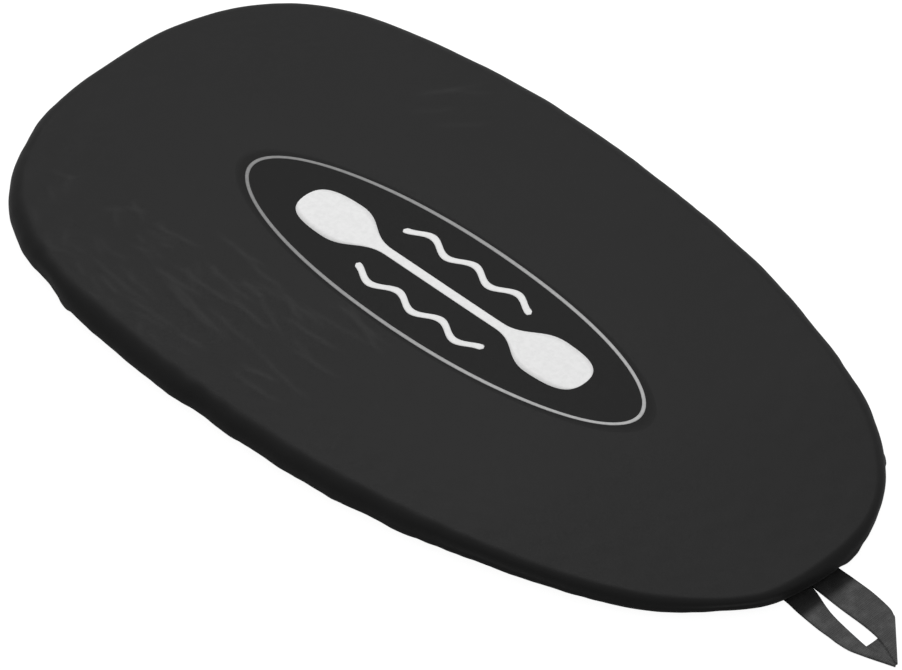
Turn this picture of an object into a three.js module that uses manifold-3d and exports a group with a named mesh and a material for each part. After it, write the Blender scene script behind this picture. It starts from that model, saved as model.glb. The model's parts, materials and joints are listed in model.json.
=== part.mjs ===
// Kayak cockpit cover: a nylon panel stretched over the coaming, with a rolled rim, a drawcord hem,
// a webbing grab loop at the bow and a spring cord lock inside the hem at the stern.
// Millimetres, +Z up, +X towards the bow and +Y to port. The origin is the middle of the panel's
// underside, in the plane that lies on the coaming.

import * as THREE from "three";
import { mergeVertices } from "three/addons/utils/BufferGeometryUtils.js";
import Module from "manifold-3d";

const wasm = await Module();
wasm.setup();

// ---------- Driving dimensions ----------

// Plan outline of the rim: half a superellipse forward of the widest station and half a fuller one aft.
const BOW_REACH = 540;
const STERN_REACH = 320;
const HALF_WIDTH = 236;
const BOW_FULLNESS = 2.3;
const STERN_FULLNESS = 2.7;
const WIDEST_X = (STERN_REACH - BOW_REACH) / 2;
const STATION_STEP = 6;

// Rim section. Insets are measured inwards from the plan outline.
const FABRIC = 1.2;
const RIM_DEPTH = 27;
const TOP_ROLL = 14;
const RIM_WALL = 3;
const LOWER_ROLL = 8.5;
const PANEL_EDGE_INSET = 23;

// Hem casing and the elastic cord in it.
const CORD_INSET = 29;
const CORD_RADIUS = 2.5;
const CASING_INNER = 3.2;
const CASING_OUTER = 4.1;
const CASING_LIP_INSET = 20;
const HEM_Z = -RIM_DEPTH + CASING_OUTER;
const CASING_GAP_ANGLE = 2.4;
const THREAD = 0.8;
const THREAD_INSET = 22;
const GAP = 0.3;

// Cord tails, which leave the hem at the stern side by side.
const TAIL_Y = 2.9;
const TAIL_Z = -19.7;
const TAIL_HINGE_X = -385.5;
const TAIL_LENGTH = 78;
const BEND_RADIUS = 9;

// Cord lock, with its barrel across the tails.
const LOCK_X = -345;
const BARREL_RADIUS = 7;
const BARREL_MOUTH_Y = -9;
const BARREL_END_Y = 17.5;
const BORE_RADIUS = 4.7;
const BORE_END_Y = 16;
const PLUNGER_RADIUS = 4.3;
const PLUNGER_END_Y = 7.2;
const BUTTON_RADIUS = 6.2;
const BUTTON_TOP_Y = -17.5;
const BUTTON_FOOT_Y = -13.5;
const PRESS_TRAVEL = 4;
const CORD_PASSAGE_Y = 5.9;
const CORD_PASSAGE_HEIGHT = 5.8;
const SPRING_WIRE = 0.45;
const SPRING_RADIUS = 3.1;
const SPRING_TURNS = 4;

// End cap over the two tail ends.
const END_CAP_RADIUS = 6.6;
const END_CAP_LENGTH = 20;
const END_CAP_WIDTH_RATIO = 1.3;
const END_CAP_POCKET = [11, 12.4, 5.8];

// Webbing grab loop, folded flat to a point. Its hinge line is where the webbing leaves the rim.
const WEBBING = 1.4;
const LOOP_HINGE_X = 436;
const LOOP_Y = -20;
const LOOP_Z = -RIM_DEPTH + 0.9;
const LOOP_START = 0.6;
const LOOP_TIP = [100, -18];
const LOOP_PORT_EDGE = [[32.5, LOOP_START], [31, 22], [28, 50], [24, 60]];
const LOOP_STARBOARD_EDGE = [[-28, LOOP_START], [-31, 25], [-32.5, 56]];
const SLOT_END_X = 67.5;
const SLOT_END_Y = [-5.5, -19.5];
const SLOT_MOUTH = 0.5;
const LOOP_SEWN_X = 410;
const LOOP_SEWN_END_X = 434.8;

// Care label, sewn into the port side of the hem.
const LABEL = [45, 24, 0.8];
const LABEL_HINGE_Y = HALF_WIDTH - 35;

// Printed emblem: an oval ring round a double-bladed paddle and two water lines.
const PRINT = 0.3;
const PRINT_SEGMENTS = 24;
const PRINT_X = -21;
const PRINT_Y = 1.5;
const OVAL = [227, 66.5];
const OVAL_LINE = 4;
const PADDLE_HALF_LENGTH = 165;
const BLADE_LENGTH = 100;
const BLADE_HALF_WIDTH = 25;
const SHAFT_HALF_WIDTH = 4.5;
const WAVE = { length: 150, pitch: 50, height: 5, line: 7, offset: 34 };

// ---------- Materials ----------

function cloth(color, roughness) {
  return new THREE.MeshStandardMaterial({ color, roughness, metalness: 0 });
}

const NYLON = cloth(0x313131, 0.6);
const BINDING = cloth(0x1f1f1f, 0.8);
const WEBBING_CLOTH = cloth(0x474747, 0.85);
const THREAD_CLOTH = cloth(0x262626, 0.7);
const CORD_CLOTH = cloth(0x161616, 0.75);
const LABEL_CLOTH = cloth(0xd8d8d4, 0.8);
const PLASTIC = new THREE.MeshStandardMaterial({ color: 0x141414, roughness: 0.45, metalness: 0 });
const STEEL = new THREE.MeshStandardMaterial({ color: 0x9a9a9a, roughness: 0.3, metalness: 1 });
const INK_DARK = cloth(0x262626, 0.5);
const INK_GREY = cloth(0x9a9a9a, 0.5);
const INK_WHITE = cloth(0xe6e6e6, 0.5);

// ---------- Assembly helpers ----------

const cover = new THREE.Group();

function addPart(name, geometry, material) {
  const mesh = new THREE.Mesh(geometry, material);
  mesh.name = name;
  cover.add(mesh);
  return mesh;
}

// A manifold solid from a closed three.js geometry.
function solidOf(geometry) {
  const bare = geometry.clone();
  bare.deleteAttribute("normal");
  bare.deleteAttribute("uv");
  const merged = mergeVertices(bare, 1e-3);
  const vertProperties = new Float32Array(merged.attributes.position.array);
  const triVerts = new Uint32Array(merged.index.array);
  return new wasm.Manifold(new wasm.Mesh({ numProp: 3, vertProperties, triVerts }));
}

function geometryOf(solid) {
  const mesh = solid.getMesh();
  const geometry = new THREE.BufferGeometry();
  geometry.setAttribute("position", new THREE.BufferAttribute(mesh.vertProperties, 3));
  geometry.setIndex(new THREE.BufferAttribute(mesh.triVerts, 1));
  geometry.computeVertexNormals();
  return geometry;
}

function cut(geometry, ...tools) {
  return geometryOf(tools.reduce((solid, tool) => solid.subtract(solidOf(tool)), solidOf(geometry)));
}

// An indexed geometry whose faces point out, whichever way its profile ran.
function closedGeometry(points, index) {
  let volume = 0;
  for (let i = 0; i < index.length; i += 3) {
    const [a, b, c] = [points[index[i]], points[index[i + 1]], points[index[i + 2]]];
    volume += a.dot(new THREE.Vector3().crossVectors(b, c));
  }
  const geometry = new THREE.BufferGeometry().setFromPoints(points);
  geometry.setIndex(volume > 0 ? index : index.slice().reverse());
  geometry.computeVertexNormals();
  return geometry;
}

// ---------- Plan outline ----------

const radians = THREE.MathUtils.degToRad;

// A point of the outline and the way inwards there, at an angle that is 0 at the bow and 90 at the port side.
function station(degrees) {
  const c = Math.cos(radians(degrees));
  const s = Math.sin(radians(degrees));
  const ahead = c >= 0;
  const reach = ahead ? BOW_REACH : STERN_REACH;
  const power = ahead ? BOW_FULLNESS : STERN_FULLNESS;
  const along = Math.sign(c) * Math.abs(c) ** (2 / power);
  const across = Math.sign(s) * Math.abs(s) ** (2 / power);
  const inward = new THREE.Vector3(
    (-Math.sign(c) * Math.abs(along) ** (power - 1)) / reach,
    (-Math.sign(s) * Math.abs(across) ** (power - 1)) / HALF_WIDTH,
    0,
  ).normalize();
  const origin = new THREE.Vector3(WIDEST_X + reach * along, HALF_WIDTH * across, 0);
  return { origin, side: inward };
}

const STERN = 180;

// Angles round the rim from one side of the stern to the other, with a station at each end of the casing.
function rimAngles() {
  const angles = [STERN - CASING_GAP_ANGLE];
  for (let a = STERN - STATION_STEP; a > -STERN; a -= STATION_STEP) angles.push(a);
  angles.push(CASING_GAP_ANGLE - STERN);
  return angles;
}

const HEM_STATIONS = rimAngles().map(station);
const RIM_STATIONS = [...HEM_STATIONS, station(-STERN)];

// ---------- Sweeps ----------

// Points [inset, z] of a section, placed at a station.
function place({ origin, side }, section) {
  return section.map(([inset, z]) => origin.clone().addScaledVector(side, inset).setZ(origin.z + z));
}

function joinRings(index, ringA, ringB, count, closed) {
  for (let i = 0; i < (closed ? count : count - 1); i++) {
    const j = (i + 1) % count;
    index.push(ringA + i, ringB + i, ringB + j, ringA + i, ringB + j, ringA + j);
  }
}

// A closed section swept through stations, with flat ends.
function sweep(stations, section) {
  const points = stations.flatMap((at) => place(at, section));
  const index = [];
  const count = section.length;
  for (let i = 0; i + 1 < stations.length; i++) joinRings(index, i * count, (i + 1) * count, count, true);
  const cap = THREE.ShapeUtils.triangulateShape(section.map(([x, y]) => new THREE.Vector2(x, y)), []);
  const last = (stations.length - 1) * count;
  const windsForward = THREE.ShapeUtils.isClockWise(section.map(([x, y]) => new THREE.Vector2(x, y)));
  for (const face of cap) {
    const [a, b, c] = windsForward ? face.slice().reverse() : face;
    index.push(a, b, c, last + c, last + b, last + a);
  }
  return closedGeometry(points, index);
}

function arc(centreInset, centreZ, radius, fromDegrees, toDegrees, steps) {
  return Array.from({ length: steps + 1 }, (_, i) => {
    const a = radians(fromDegrees + ((toDegrees - fromDegrees) * i) / steps);
    return [centreInset - radius * Math.cos(a), centreZ + radius * Math.sin(a)];
  });
}

function rectangle(inset0, inset1, z0, z1) {
  return [[inset0, z0], [inset1, z0], [inset1, z1], [inset0, z1]];
}

// ---------- Cover panel ----------

// One side of the rim section, from the flat top round the side and under to the edge in the hem.
function rimSection(skin) {
  const topCentre = FABRIC - TOP_ROLL;
  const lowerCentre = topCentre - RIM_WALL;
  return [
    ...arc(TOP_ROLL, topCentre, TOP_ROLL - skin, 90, 0, 4),
    ...arc(LOWER_ROLL, lowerCentre, LOWER_ROLL - skin, 0, -90, 3),
    [PANEL_EDGE_INSET, HEM_Z - FABRIC / 2 + skin],
  ];
}

// The fabric is a bowl: both skins close on a point in the middle of the top, and meet at the hem edge.
function coverPanel() {
  const flatRing = 0.55;
  const count = RIM_STATIONS.length;
  const points = [];
  const index = [];
  const centres = [];
  const edges = [];
  for (const skin of [0, FABRIC]) {
    const section = rimSection(skin);
    const flat = RIM_STATIONS.map(
      (at) => place(at, [section[0]])[0].multiply(new THREE.Vector3(flatRing, flatRing, 1)),
    );
    const rings = [flat, ...section.map((point) => RIM_STATIONS.map((at) => place(at, [point])[0]))];
    const first = points.length;
    points.push(new THREE.Vector3(0, 0, FABRIC - skin), ...rings.flat());
    const skinIndex = [];
    for (let i = 0; i < count; i++) skinIndex.push(first, first + 1 + i, first + 1 + ((i + 1) % count));
    rings.slice(1).forEach((_, k) => {
      joinRings(skinIndex, first + 1 + k * count, first + 1 + (k + 1) * count, count, true);
    });
    index.push(...(skin === 0 ? skinIndex : skinIndex.reverse()));
    centres.push(first);
    edges.push(first + 1 + (rings.length - 1) * count);
  }
  joinRings(index, edges[0], edges[1], count, true);
  return closedGeometry(points, index);
}

addPart("cover_panel", coverPanel(), NYLON);

// ---------- Hem: casing, cord and seam threads ----------

// A strip folded round the cord, with its two lips either side of the panel's edge and a flat foot.
function casingSection() {
  const lip = FABRIC / 2 + GAP;
  const wall = CASING_OUTER - CASING_INNER;
  const innerAngle = THREE.MathUtils.radToDeg(Math.asin(lip / CASING_INNER));
  const outerAngle = THREE.MathUtils.radToDeg(Math.asin((lip + wall) / CASING_OUTER));
  const foot = 2.4;
  return [
    [CASING_LIP_INSET, HEM_Z + lip + wall],
    ...arc(CORD_INSET, HEM_Z, CASING_OUTER, outerAngle, 180, 3),
    [CORD_INSET + foot, -RIM_DEPTH],
    [CORD_INSET - foot, -RIM_DEPTH],
    [CORD_INSET - Math.cos(radians(outerAngle)) * CASING_OUTER, HEM_Z - lip - wall],
    [CASING_LIP_INSET, HEM_Z - lip - wall],
    [CASING_LIP_INSET, HEM_Z - lip],
    ...arc(CORD_INSET, HEM_Z, CASING_INNER, -innerAngle, -(360 - innerAngle), 6),
    [CASING_LIP_INSET, HEM_Z + lip],
  ];
}

addPart("hem_casing", sweep(HEM_STATIONS, casingSection()), BINDING);

function cordSection(radius) {
  return arc(0, 0, radius, 0, 360, 8).slice(0, -1);
}

// The cord turns out of the hem at each side of the stern, and runs forward to where its tail starts.
function cordStations() {
  const round = HEM_STATIONS.map(({ origin, side }) => ({
    origin: origin.clone().addScaledVector(side, CORD_INSET).setZ(HEM_Z),
    side,
  }));
  const sternX = WIDEST_X - STERN_REACH + CORD_INSET;
  const climb = TAIL_Z - HEM_Z;
  const turn = [30, 60, 90].map((degrees) => {
    const a = radians(degrees);
    return {
      origin: new THREE.Vector3(
        sternX + BEND_RADIUS * (1 - Math.cos(a)),
        TAIL_Y + BEND_RADIUS * (1 - Math.sin(a)),
        HEM_Z + (climb * degrees) / 90,
      ),
      side: new THREE.Vector3(Math.cos(a), Math.sin(a), 0),
    };
  });
  const tailEnd = {
    origin: new THREE.Vector3(TAIL_HINGE_X - 3, TAIL_Y, TAIL_Z),
    side: new THREE.Vector3(0, 1, 0),
  };
  const port = [tailEnd, ...turn.reverse()];
  const starboard = port.map(({ origin, side }) => ({
    origin: origin.clone().setY(-origin.y),
    side: new THREE.Vector3(side.x, -side.y, 0),
  }));
  return [...port, ...round, ...starboard.reverse()];
}

addPart("shock_cord", sweep(cordStations(), cordSection(CORD_RADIUS)), CORD_CLOTH);

// Needle thread above the casing's lips, and bobbin thread below them.
function seamThread(z0) {
  const section = rectangle(THREAD_INSET - THREAD / 2, THREAD_INSET + THREAD / 2, z0, z0 + THREAD);
  return sweep(HEM_STATIONS.slice(1, -1), section);
}

const LIP_HEIGHT = FABRIC / 2 + GAP + CASING_OUTER - CASING_INNER;
addPart("hem_needle_thread", seamThread(HEM_Z + LIP_HEIGHT + GAP), THREAD_CLOTH);
addPart("hem_bobbin_thread", seamThread(HEM_Z - LIP_HEIGHT - GAP - THREAD), THREAD_CLOTH);

// A bar of stitches that closes each end of the casing.
function casingBartack(sideSign) {
  const length = 0.3;
  const middle = (STERN - CASING_GAP_ANGLE - 1) * sideSign;
  const z0 = HEM_Z + LIP_HEIGHT + GAP;
  const section = rectangle(CASING_LIP_INSET + GAP, CASING_LIP_INSET + 4.5, z0, z0 + THREAD);
  return sweep([station(middle - length), station(middle + length)], section);
}

addPart("casing_bartack_port", casingBartack(1), THREAD_CLOTH);
addPart("casing_bartack_starboard", casingBartack(-1), THREAD_CLOTH);

// ---------- Cord tails, cord lock and end cap ----------

function tail(name, side) {
  const geometry = new THREE.CylinderGeometry(CORD_RADIUS, CORD_RADIUS, TAIL_LENGTH, 10);
  const mesh = addPart(name, geometry, CORD_CLOTH);
  mesh.rotation.z = -Math.PI / 2;
  mesh.position.set(TAIL_HINGE_X + 1 + TAIL_LENGTH / 2, side * TAIL_Y, TAIL_Z);
}

tail("cord_tail_port", 1);
tail("cord_tail_starboard", -1);

// A turned shape about Y, from [radius, y] corners between two points on the axis.
function turned(corners, segments) {
  const ys = corners.map(([, y]) => y);
  const profile = [[0, ys[0]], ...corners, [0, ys[ys.length - 1]]];
  return new THREE.LatheGeometry(profile.map(([r, y]) => new THREE.Vector2(r, y)), segments);
}

function cordPassage(y0, y1) {
  const box = new THREE.BoxGeometry(4 * BARREL_RADIUS, y1 - y0, CORD_PASSAGE_HEIGHT);
  return box.translate(0, (y0 + y1) / 2, 0);
}

function lockBarrel() {
  const chamfer = 1.2;
  const body = turned(
    [
      [BARREL_RADIUS - chamfer / 2, BARREL_MOUTH_Y],
      [BARREL_RADIUS, BARREL_MOUTH_Y + chamfer],
      [BARREL_RADIUS, BARREL_END_Y - 2 * chamfer],
      [BARREL_RADIUS - 2 * chamfer, BARREL_END_Y],
    ],
    20,
  );
  const bore = turned([[BORE_RADIUS, BARREL_MOUTH_Y - 1], [BORE_RADIUS, BORE_END_Y]], 20);
  return cut(body, bore, cordPassage(-CORD_PASSAGE_Y, CORD_PASSAGE_Y));
}

// The plunger's slot is longer than the cords are wide by its travel, so it can be pressed with them in.
function lockPlunger() {
  const body = turned(
    [
      [BUTTON_RADIUS - 1.5, BUTTON_TOP_Y],
      [BUTTON_RADIUS, BUTTON_TOP_Y + 1.5],
      [BUTTON_RADIUS, BUTTON_FOOT_Y],
      [PLUNGER_RADIUS, BUTTON_FOOT_Y],
      [PLUNGER_RADIUS, PLUNGER_END_Y],
    ],
    20,
  );
  return cut(body, cordPassage(-CORD_PASSAGE_Y - PRESS_TRAVEL, CORD_PASSAGE_Y));
}

class Coil extends THREE.Curve {
  getPoint(t, target = new THREE.Vector3()) {
    const margin = SPRING_WIRE + GAP;
    const a = 2 * Math.PI * SPRING_TURNS * t;
    const y = THREE.MathUtils.lerp(PLUNGER_END_Y + margin, BORE_END_Y - margin, t);
    return target.set(SPRING_RADIUS * Math.cos(a), y, SPRING_RADIUS * Math.sin(a));
  }
}

function lockSpring() {
  const wire = new THREE.Shape().absarc(0, 0, SPRING_WIRE, 0, 2 * Math.PI);
  return new THREE.ExtrudeGeometry(wire, { extrudePath: new Coil(), steps: 56, curveSegments: 3 });
}

const lockGroup = new THREE.Group();
lockGroup.position.set(LOCK_X, 0, TAIL_Z);
cover.add(lockGroup);
lockGroup.add(
  addPart("cord_lock_barrel", lockBarrel(), PLASTIC),
  addPart("cord_lock_plunger", lockPlunger(), PLASTIC),
  addPart("cord_lock_spring", lockSpring(), STEEL),
);

function endCap() {
  const nose = 4;
  const body = turned(
    [
      [END_CAP_RADIUS - 0.8, 0],
      [END_CAP_RADIUS, 1.5],
      [END_CAP_RADIUS, END_CAP_LENGTH / 2],
      [END_CAP_RADIUS - 1, END_CAP_LENGTH - nose],
      [END_CAP_RADIUS - 3, END_CAP_LENGTH],
    ],
    20,
  );
  body.rotateZ(-Math.PI / 2).scale(1, END_CAP_WIDTH_RATIO, 1);
  const pocket = new THREE.BoxGeometry(...END_CAP_POCKET).translate(END_CAP_POCKET[0] / 2 - 1, 0, 0);
  return cut(body, pocket);
}

const cap = addPart("cord_end_cap", endCap(), PLASTIC);
cap.position.set(TAIL_HINGE_X + 1 + TAIL_LENGTH - END_CAP_POCKET[0] + 2, 0, TAIL_Z);

// ---------- Grab loop ----------

// Plan of the free loop from its hinge line, with a slot that opens from nothing at the hem to a blunt end.
function loopPlan() {
  const at = ([y, x]) => new THREE.Vector2(x, y);
  return new THREE.Shape([
    at([SLOT_MOUTH, LOOP_START]),
    new THREE.Vector2(SLOT_END_X, SLOT_END_Y[0]),
    new THREE.Vector2(SLOT_END_X, SLOT_END_Y[1]),
    at([-SLOT_MOUTH, LOOP_START]),
    ...LOOP_STARBOARD_EDGE.map(at),
    new THREE.Vector2(...LOOP_TIP),
    ...LOOP_PORT_EDGE.map(at).reverse(),
  ]);
}

const loop = addPart(
  "grab_loop",
  new THREE.ExtrudeGeometry(loopPlan(), { depth: WEBBING, bevelEnabled: false }),
  WEBBING_CLOTH,
);
loop.position.set(LOOP_HINGE_X, LOOP_Y, LOOP_Z - WEBBING / 2);

function sewnEnd(name, yEdge, ySlot) {
  const length = LOOP_SEWN_END_X - LOOP_SEWN_X;
  const geometry = new THREE.BoxGeometry(length, Math.abs(yEdge - ySlot), WEBBING);
  const mesh = addPart(name, geometry, WEBBING_CLOTH);
  mesh.position.set(LOOP_SEWN_X + length / 2, LOOP_Y + (yEdge + ySlot) / 2, LOOP_Z);
}

sewnEnd("grab_loop_end_port", LOOP_PORT_EDGE[0][0], SLOT_MOUTH);
sewnEnd("grab_loop_end_starboard", LOOP_STARBOARD_EDGE[0][0], -SLOT_MOUTH);

// A patch between the webbing and the panel spreads the pull.
function loopPatch() {
  const z0 = LOOP_Z + WEBBING / 2 + GAP;
  const stations = [-12, -9, -6, -3, 0, 3].map(station);
  return sweep(stations, rectangle(LOWER_ROLL + 0.5, LOWER_ROLL + 10.5, z0, z0 + 0.5));
}

addPart("loop_patch", loopPatch(), BINDING);

function loopBartack(name, y) {
  const mesh = addPart(name, new THREE.BoxGeometry(2.2, 24, THREAD), THREAD_CLOTH);
  mesh.position.set(LOOP_SEWN_X + 5, y, HEM_Z + FABRIC / 2 + GAP + THREAD);
}

loopBartack("loop_bartack_port", LOOP_Y + LOOP_PORT_EDGE[0][0] / 2);
loopBartack("loop_bartack_starboard", LOOP_Y + LOOP_STARBOARD_EDGE[0][0] / 2);

// ---------- Care label ----------

const label = addPart("care_label", new THREE.BoxGeometry(...LABEL), LABEL_CLOTH);
label.position.set(WIDEST_X, LABEL_HINGE_Y - 0.5 - LABEL[1] / 2, HEM_Z);

// ---------- Printed emblem ----------

function print(name, shape, layer, material) {
  const settings = { depth: PRINT, bevelEnabled: false, curveSegments: PRINT_SEGMENTS };
  const geometry = new THREE.ExtrudeGeometry(shape, settings);
  const mesh = addPart(name, geometry, material);
  mesh.position.set(PRINT_X, PRINT_Y, FABRIC + GAP + layer * (PRINT + GAP));
}

function oval(path, inset) {
  path.absellipse(0, 0, OVAL[0] - inset, OVAL[1] - inset, 0, 2 * Math.PI);
  return path;
}

function ovalRing() {
  const ring = oval(new THREE.Shape(), 0);
  ring.holes.push(oval(new THREE.Path(), OVAL_LINE));
  return ring;
}

// The paddle is drawn round one blade, then round the other as its half-turn.
function paddle() {
  const shape = new THREE.Shape();
  const root = PADDLE_HALF_LENGTH - BLADE_LENGTH;
  const [tip, wide, shaft] = [PADDLE_HALF_LENGTH, BLADE_HALF_WIDTH, SHAFT_HALF_WIDTH];
  for (const way of [1, -1]) {
    const to = (x, y) => [way * x, way * y];
    if (way === 1) shape.moveTo(...to(root, -shaft));
    else shape.lineTo(...to(root, -shaft));
    shape.bezierCurveTo(...to(root + 25, -shaft), ...to(root + 30, -wide), ...to(root + 55, -wide));
    shape.bezierCurveTo(...to(tip - 12, -wide), ...to(tip, -wide + 6), ...to(tip, 0));
    shape.bezierCurveTo(...to(tip, wide - 6), ...to(tip - 12, wide), ...to(root + 55, wide));
    shape.bezierCurveTo(...to(root + 30, wide), ...to(root + 25, shaft), ...to(root, shaft));
  }
  return shape;
}

function waterLine(side) {
  const steps = 30;
  const edge = (offset) =>
    Array.from({ length: steps + 1 }, (_, i) => {
      const x = WAVE.length * (i / steps - 0.5);
      const y = side * WAVE.offset + WAVE.height * Math.cos((2 * Math.PI * x) / WAVE.pitch);
      return new THREE.Vector2(x, y + offset);
    });
  return new THREE.Shape([...edge(-WAVE.line / 2), ...edge(WAVE.line / 2).reverse()]);
}

print("print_ground", oval(new THREE.Shape(), 0), 0, INK_DARK);
print("print_ring", ovalRing(), 1, INK_GREY);
print("print_paddle", paddle(), 1, INK_WHITE);
print("print_wave_port", waterLine(1), 1, INK_GREY);
print("print_wave_starboard", waterLine(-1), 1, INK_GREY);

export default cover;
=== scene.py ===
"""Kayak cockpit cover: the looks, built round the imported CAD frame.

Metres, in the CAD's own frame: +X to the bow, +Y to port, +Z up, with the origin in the middle of the
panel's flat underside. Lengths below are written in millimetres and turned into metres with MM.
"""

import json
import math

import bmesh
import bpy
import numpy as np
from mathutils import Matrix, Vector


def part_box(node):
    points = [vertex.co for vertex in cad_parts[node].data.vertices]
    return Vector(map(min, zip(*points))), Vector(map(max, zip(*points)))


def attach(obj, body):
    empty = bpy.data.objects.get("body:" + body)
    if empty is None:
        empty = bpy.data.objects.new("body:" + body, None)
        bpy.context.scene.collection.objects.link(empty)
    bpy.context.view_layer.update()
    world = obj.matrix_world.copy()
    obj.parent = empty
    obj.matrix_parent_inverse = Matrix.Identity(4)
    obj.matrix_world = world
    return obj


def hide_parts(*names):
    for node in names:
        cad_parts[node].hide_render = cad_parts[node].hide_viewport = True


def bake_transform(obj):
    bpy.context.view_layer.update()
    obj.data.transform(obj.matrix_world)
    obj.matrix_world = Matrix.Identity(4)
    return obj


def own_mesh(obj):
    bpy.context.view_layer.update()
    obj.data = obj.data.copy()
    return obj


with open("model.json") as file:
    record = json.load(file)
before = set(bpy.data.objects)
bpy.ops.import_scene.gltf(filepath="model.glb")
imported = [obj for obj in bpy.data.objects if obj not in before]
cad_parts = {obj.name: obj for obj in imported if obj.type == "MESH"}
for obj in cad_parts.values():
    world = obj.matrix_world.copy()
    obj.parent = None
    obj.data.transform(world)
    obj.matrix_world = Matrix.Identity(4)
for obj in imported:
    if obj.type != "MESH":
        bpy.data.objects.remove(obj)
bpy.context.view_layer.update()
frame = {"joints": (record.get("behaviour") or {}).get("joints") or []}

MM = 0.001
SEED = 7

# ---------- Sizes, from the frame ----------

PANEL_LOW, PANEL_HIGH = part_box("cover_panel")
HEM_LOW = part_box("hem_casing")[0]
LOOP_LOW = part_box("grab_loop")[0]
OVAL_LOW, OVAL_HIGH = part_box("print_ground")
LABEL_LOW, LABEL_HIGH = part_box("care_label")
BARREL_LOW, BARREL_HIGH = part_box("cord_lock_barrel")
PLUNGER_LOW, PLUNGER_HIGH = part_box("cord_lock_plunger")
CAP_LOW, CAP_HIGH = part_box("cord_end_cap")
TAIL_LOW, TAIL_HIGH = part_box("cord_tail_port")
HINGES = {j["name"]: Vector(j["pos_m"]) for j in frame["joints"] if j["type"] == "hinge"}

TOP_Z = PANEL_HIGH.z
FLOOR_Z = HEM_LOW.z

# ---------- Shares and lines of points ----------


def closed(values):
    """The rows, with the first one once more at the end."""
    return np.vstack([values, values[:1]])


def distances(points):
    """How far each point is along a line of points."""
    return np.concatenate([[0], np.cumsum(np.linalg.norm(np.diff(points, axis=0), axis=1))])


def columns_at(at, travelled, values):
    """Every column of values, read between its rows at these distances."""
    return np.stack([np.interp(at, travelled, column) for column in values.T], 1)


def shares(count):
    """This many evenly spaced shares from 0 to 1."""
    return [k / (count - 1) for k in range(count)]


def smoothstep(low, high, value):
    """0 up to low and 1 from high on, with a smooth climb between them."""
    t = np.clip((np.asarray(value, float) - low) / (high - low), 0, 1)
    return t * t * (3 - 2 * t)


# ---------- Plan outline of the rim ----------

# Two superellipse halves that meet at the widest station, which is aft of the middle.
WIDEST_SHARE = -0.128
WIDEST_X = WIDEST_SHARE * (PANEL_HIGH.x - PANEL_LOW.x)
REACH = (PANEL_HIGH.x - WIDEST_X, WIDEST_X - PANEL_LOW.x)
HALF_WIDTH = PANEL_HIGH.y
FULLNESS = (2.3, 2.7)
STATIONS = 760
FINE_STEPS = 20000


def outline(count):
    """Points evenly spaced round the outline, from the stern to port first, and the ways inwards there."""
    fine = np.linspace(math.pi, -math.pi, FINE_STEPS + 1)[:-1]
    c, s = np.cos(fine), np.sin(fine)
    ahead = c >= 0
    reach = np.where(ahead, REACH[0], REACH[1])
    power = np.where(ahead, FULLNESS[0], FULLNESS[1])
    along = np.sign(c) * np.abs(c) ** (2 / power)
    across = np.sign(s) * np.abs(s) ** (2 / power)
    point = np.stack([WIDEST_X + reach * along, HALF_WIDTH * across], 1)
    inward_x = -np.sign(c) * np.abs(along) ** (power - 1) / reach
    inward_y = -np.sign(s) * np.abs(across) ** (power - 1) / HALF_WIDTH
    inward = np.stack([inward_x, inward_y], 1)
    inward /= np.linalg.norm(inward, axis=1)[:, None]
    point, inward = closed(point), closed(inward)
    travelled = distances(point)
    at = np.linspace(0, travelled[-1], count, endpoint=False)
    return columns_at(at, travelled, point), columns_at(at, travelled, inward), at, travelled[-1]


EDGE, INWARD, ALONG, PERIMETER = outline(STATIONS)

# Where the sewn rim stands out of its fair curve, or is pulled in: x, y, half length, stand-out.
RIM_EASE = [
    (-62, 236, 78, 2.8),
    (-122, 236, 26, 1.6),
    (-248, 220, 60, -3.4),
    (240, 187, 85, -3.6),
    (-406, 111, 45, -1.8),
    (-404, -120, 40, -2.4),
    (-277, -214, 30, -0.8),
    (-204, -226, 50, -3.0),
    (44, -230, 45, 1.5),
    (241, -188, 80, -0.6),
    (376, -115, 60, 1.6),
    (408, -70, 42, 3.2),
    (413, -68, 16, 0.8),
    (412, 78, 40, 1.2),
]
# Where the wall below the shoulder leans in under it: x, y, half length, lean.
WALL_LEAN = [
    (241, -188, 85, 4.5),
    (376, -115, 55, 3.4),
    (410, -70, 48, 4.0),
    (412, 78, 38, 2.8),
    (-277, -214, 30, 4.6),
]


def lobe(x, y, half_length, power=2):
    """One soft lobe along the rim, centred on the station nearest to this place."""
    centre = ALONG[np.argmin(np.linalg.norm(EDGE - np.array([x, y]) * MM, axis=1))]
    gap = np.abs(ALONG - centre)
    gap = np.minimum(gap, PERIMETER - gap)
    return np.exp(-((gap / (half_length * MM)) ** power))


LEAN = sum(lobe(x, y, half) * lean * MM for x, y, half, lean in WALL_LEAN)
EDGE = EDGE - INWARD * sum(lobe(x, y, half) * out * MM for x, y, half, out in RIM_EASE)[:, None]


def edge_noise(wavelength, seed):
    """Smooth noise along the rim with about this wavelength, closed on itself, with a spread of one."""
    draw = np.random.default_rng(SEED + seed)
    middle = PERIMETER / wavelength
    total = np.zeros(STATIONS)
    waves = 0
    for k in range(max(1, int(middle * 0.6)), int(middle * 1.5) + 2):
        size = draw.normal()
        total += size * np.cos(2 * math.pi * k * ALONG / PERIMETER + draw.uniform(0, 2 * math.pi))
        waves += 1
    return total / math.sqrt(waves / 2)


def gathers(wavelength, seed):
    """Rounded bulges with sharp creases between them along the rim, from -1 in a crease to 1 on a bulge."""
    count = round(PERIMETER / wavelength)
    phase = math.pi * count * ALONG / PERIMETER + 1.1 * edge_noise(4 * wavelength, seed)
    height = 0.75 + 0.25 * np.tanh(edge_noise(1.5 * wavelength, seed + 1))
    return (2 * np.abs(np.sin(phase)) ** 0.8 - 1) * height


# ---------- Mesh helpers ----------


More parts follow.
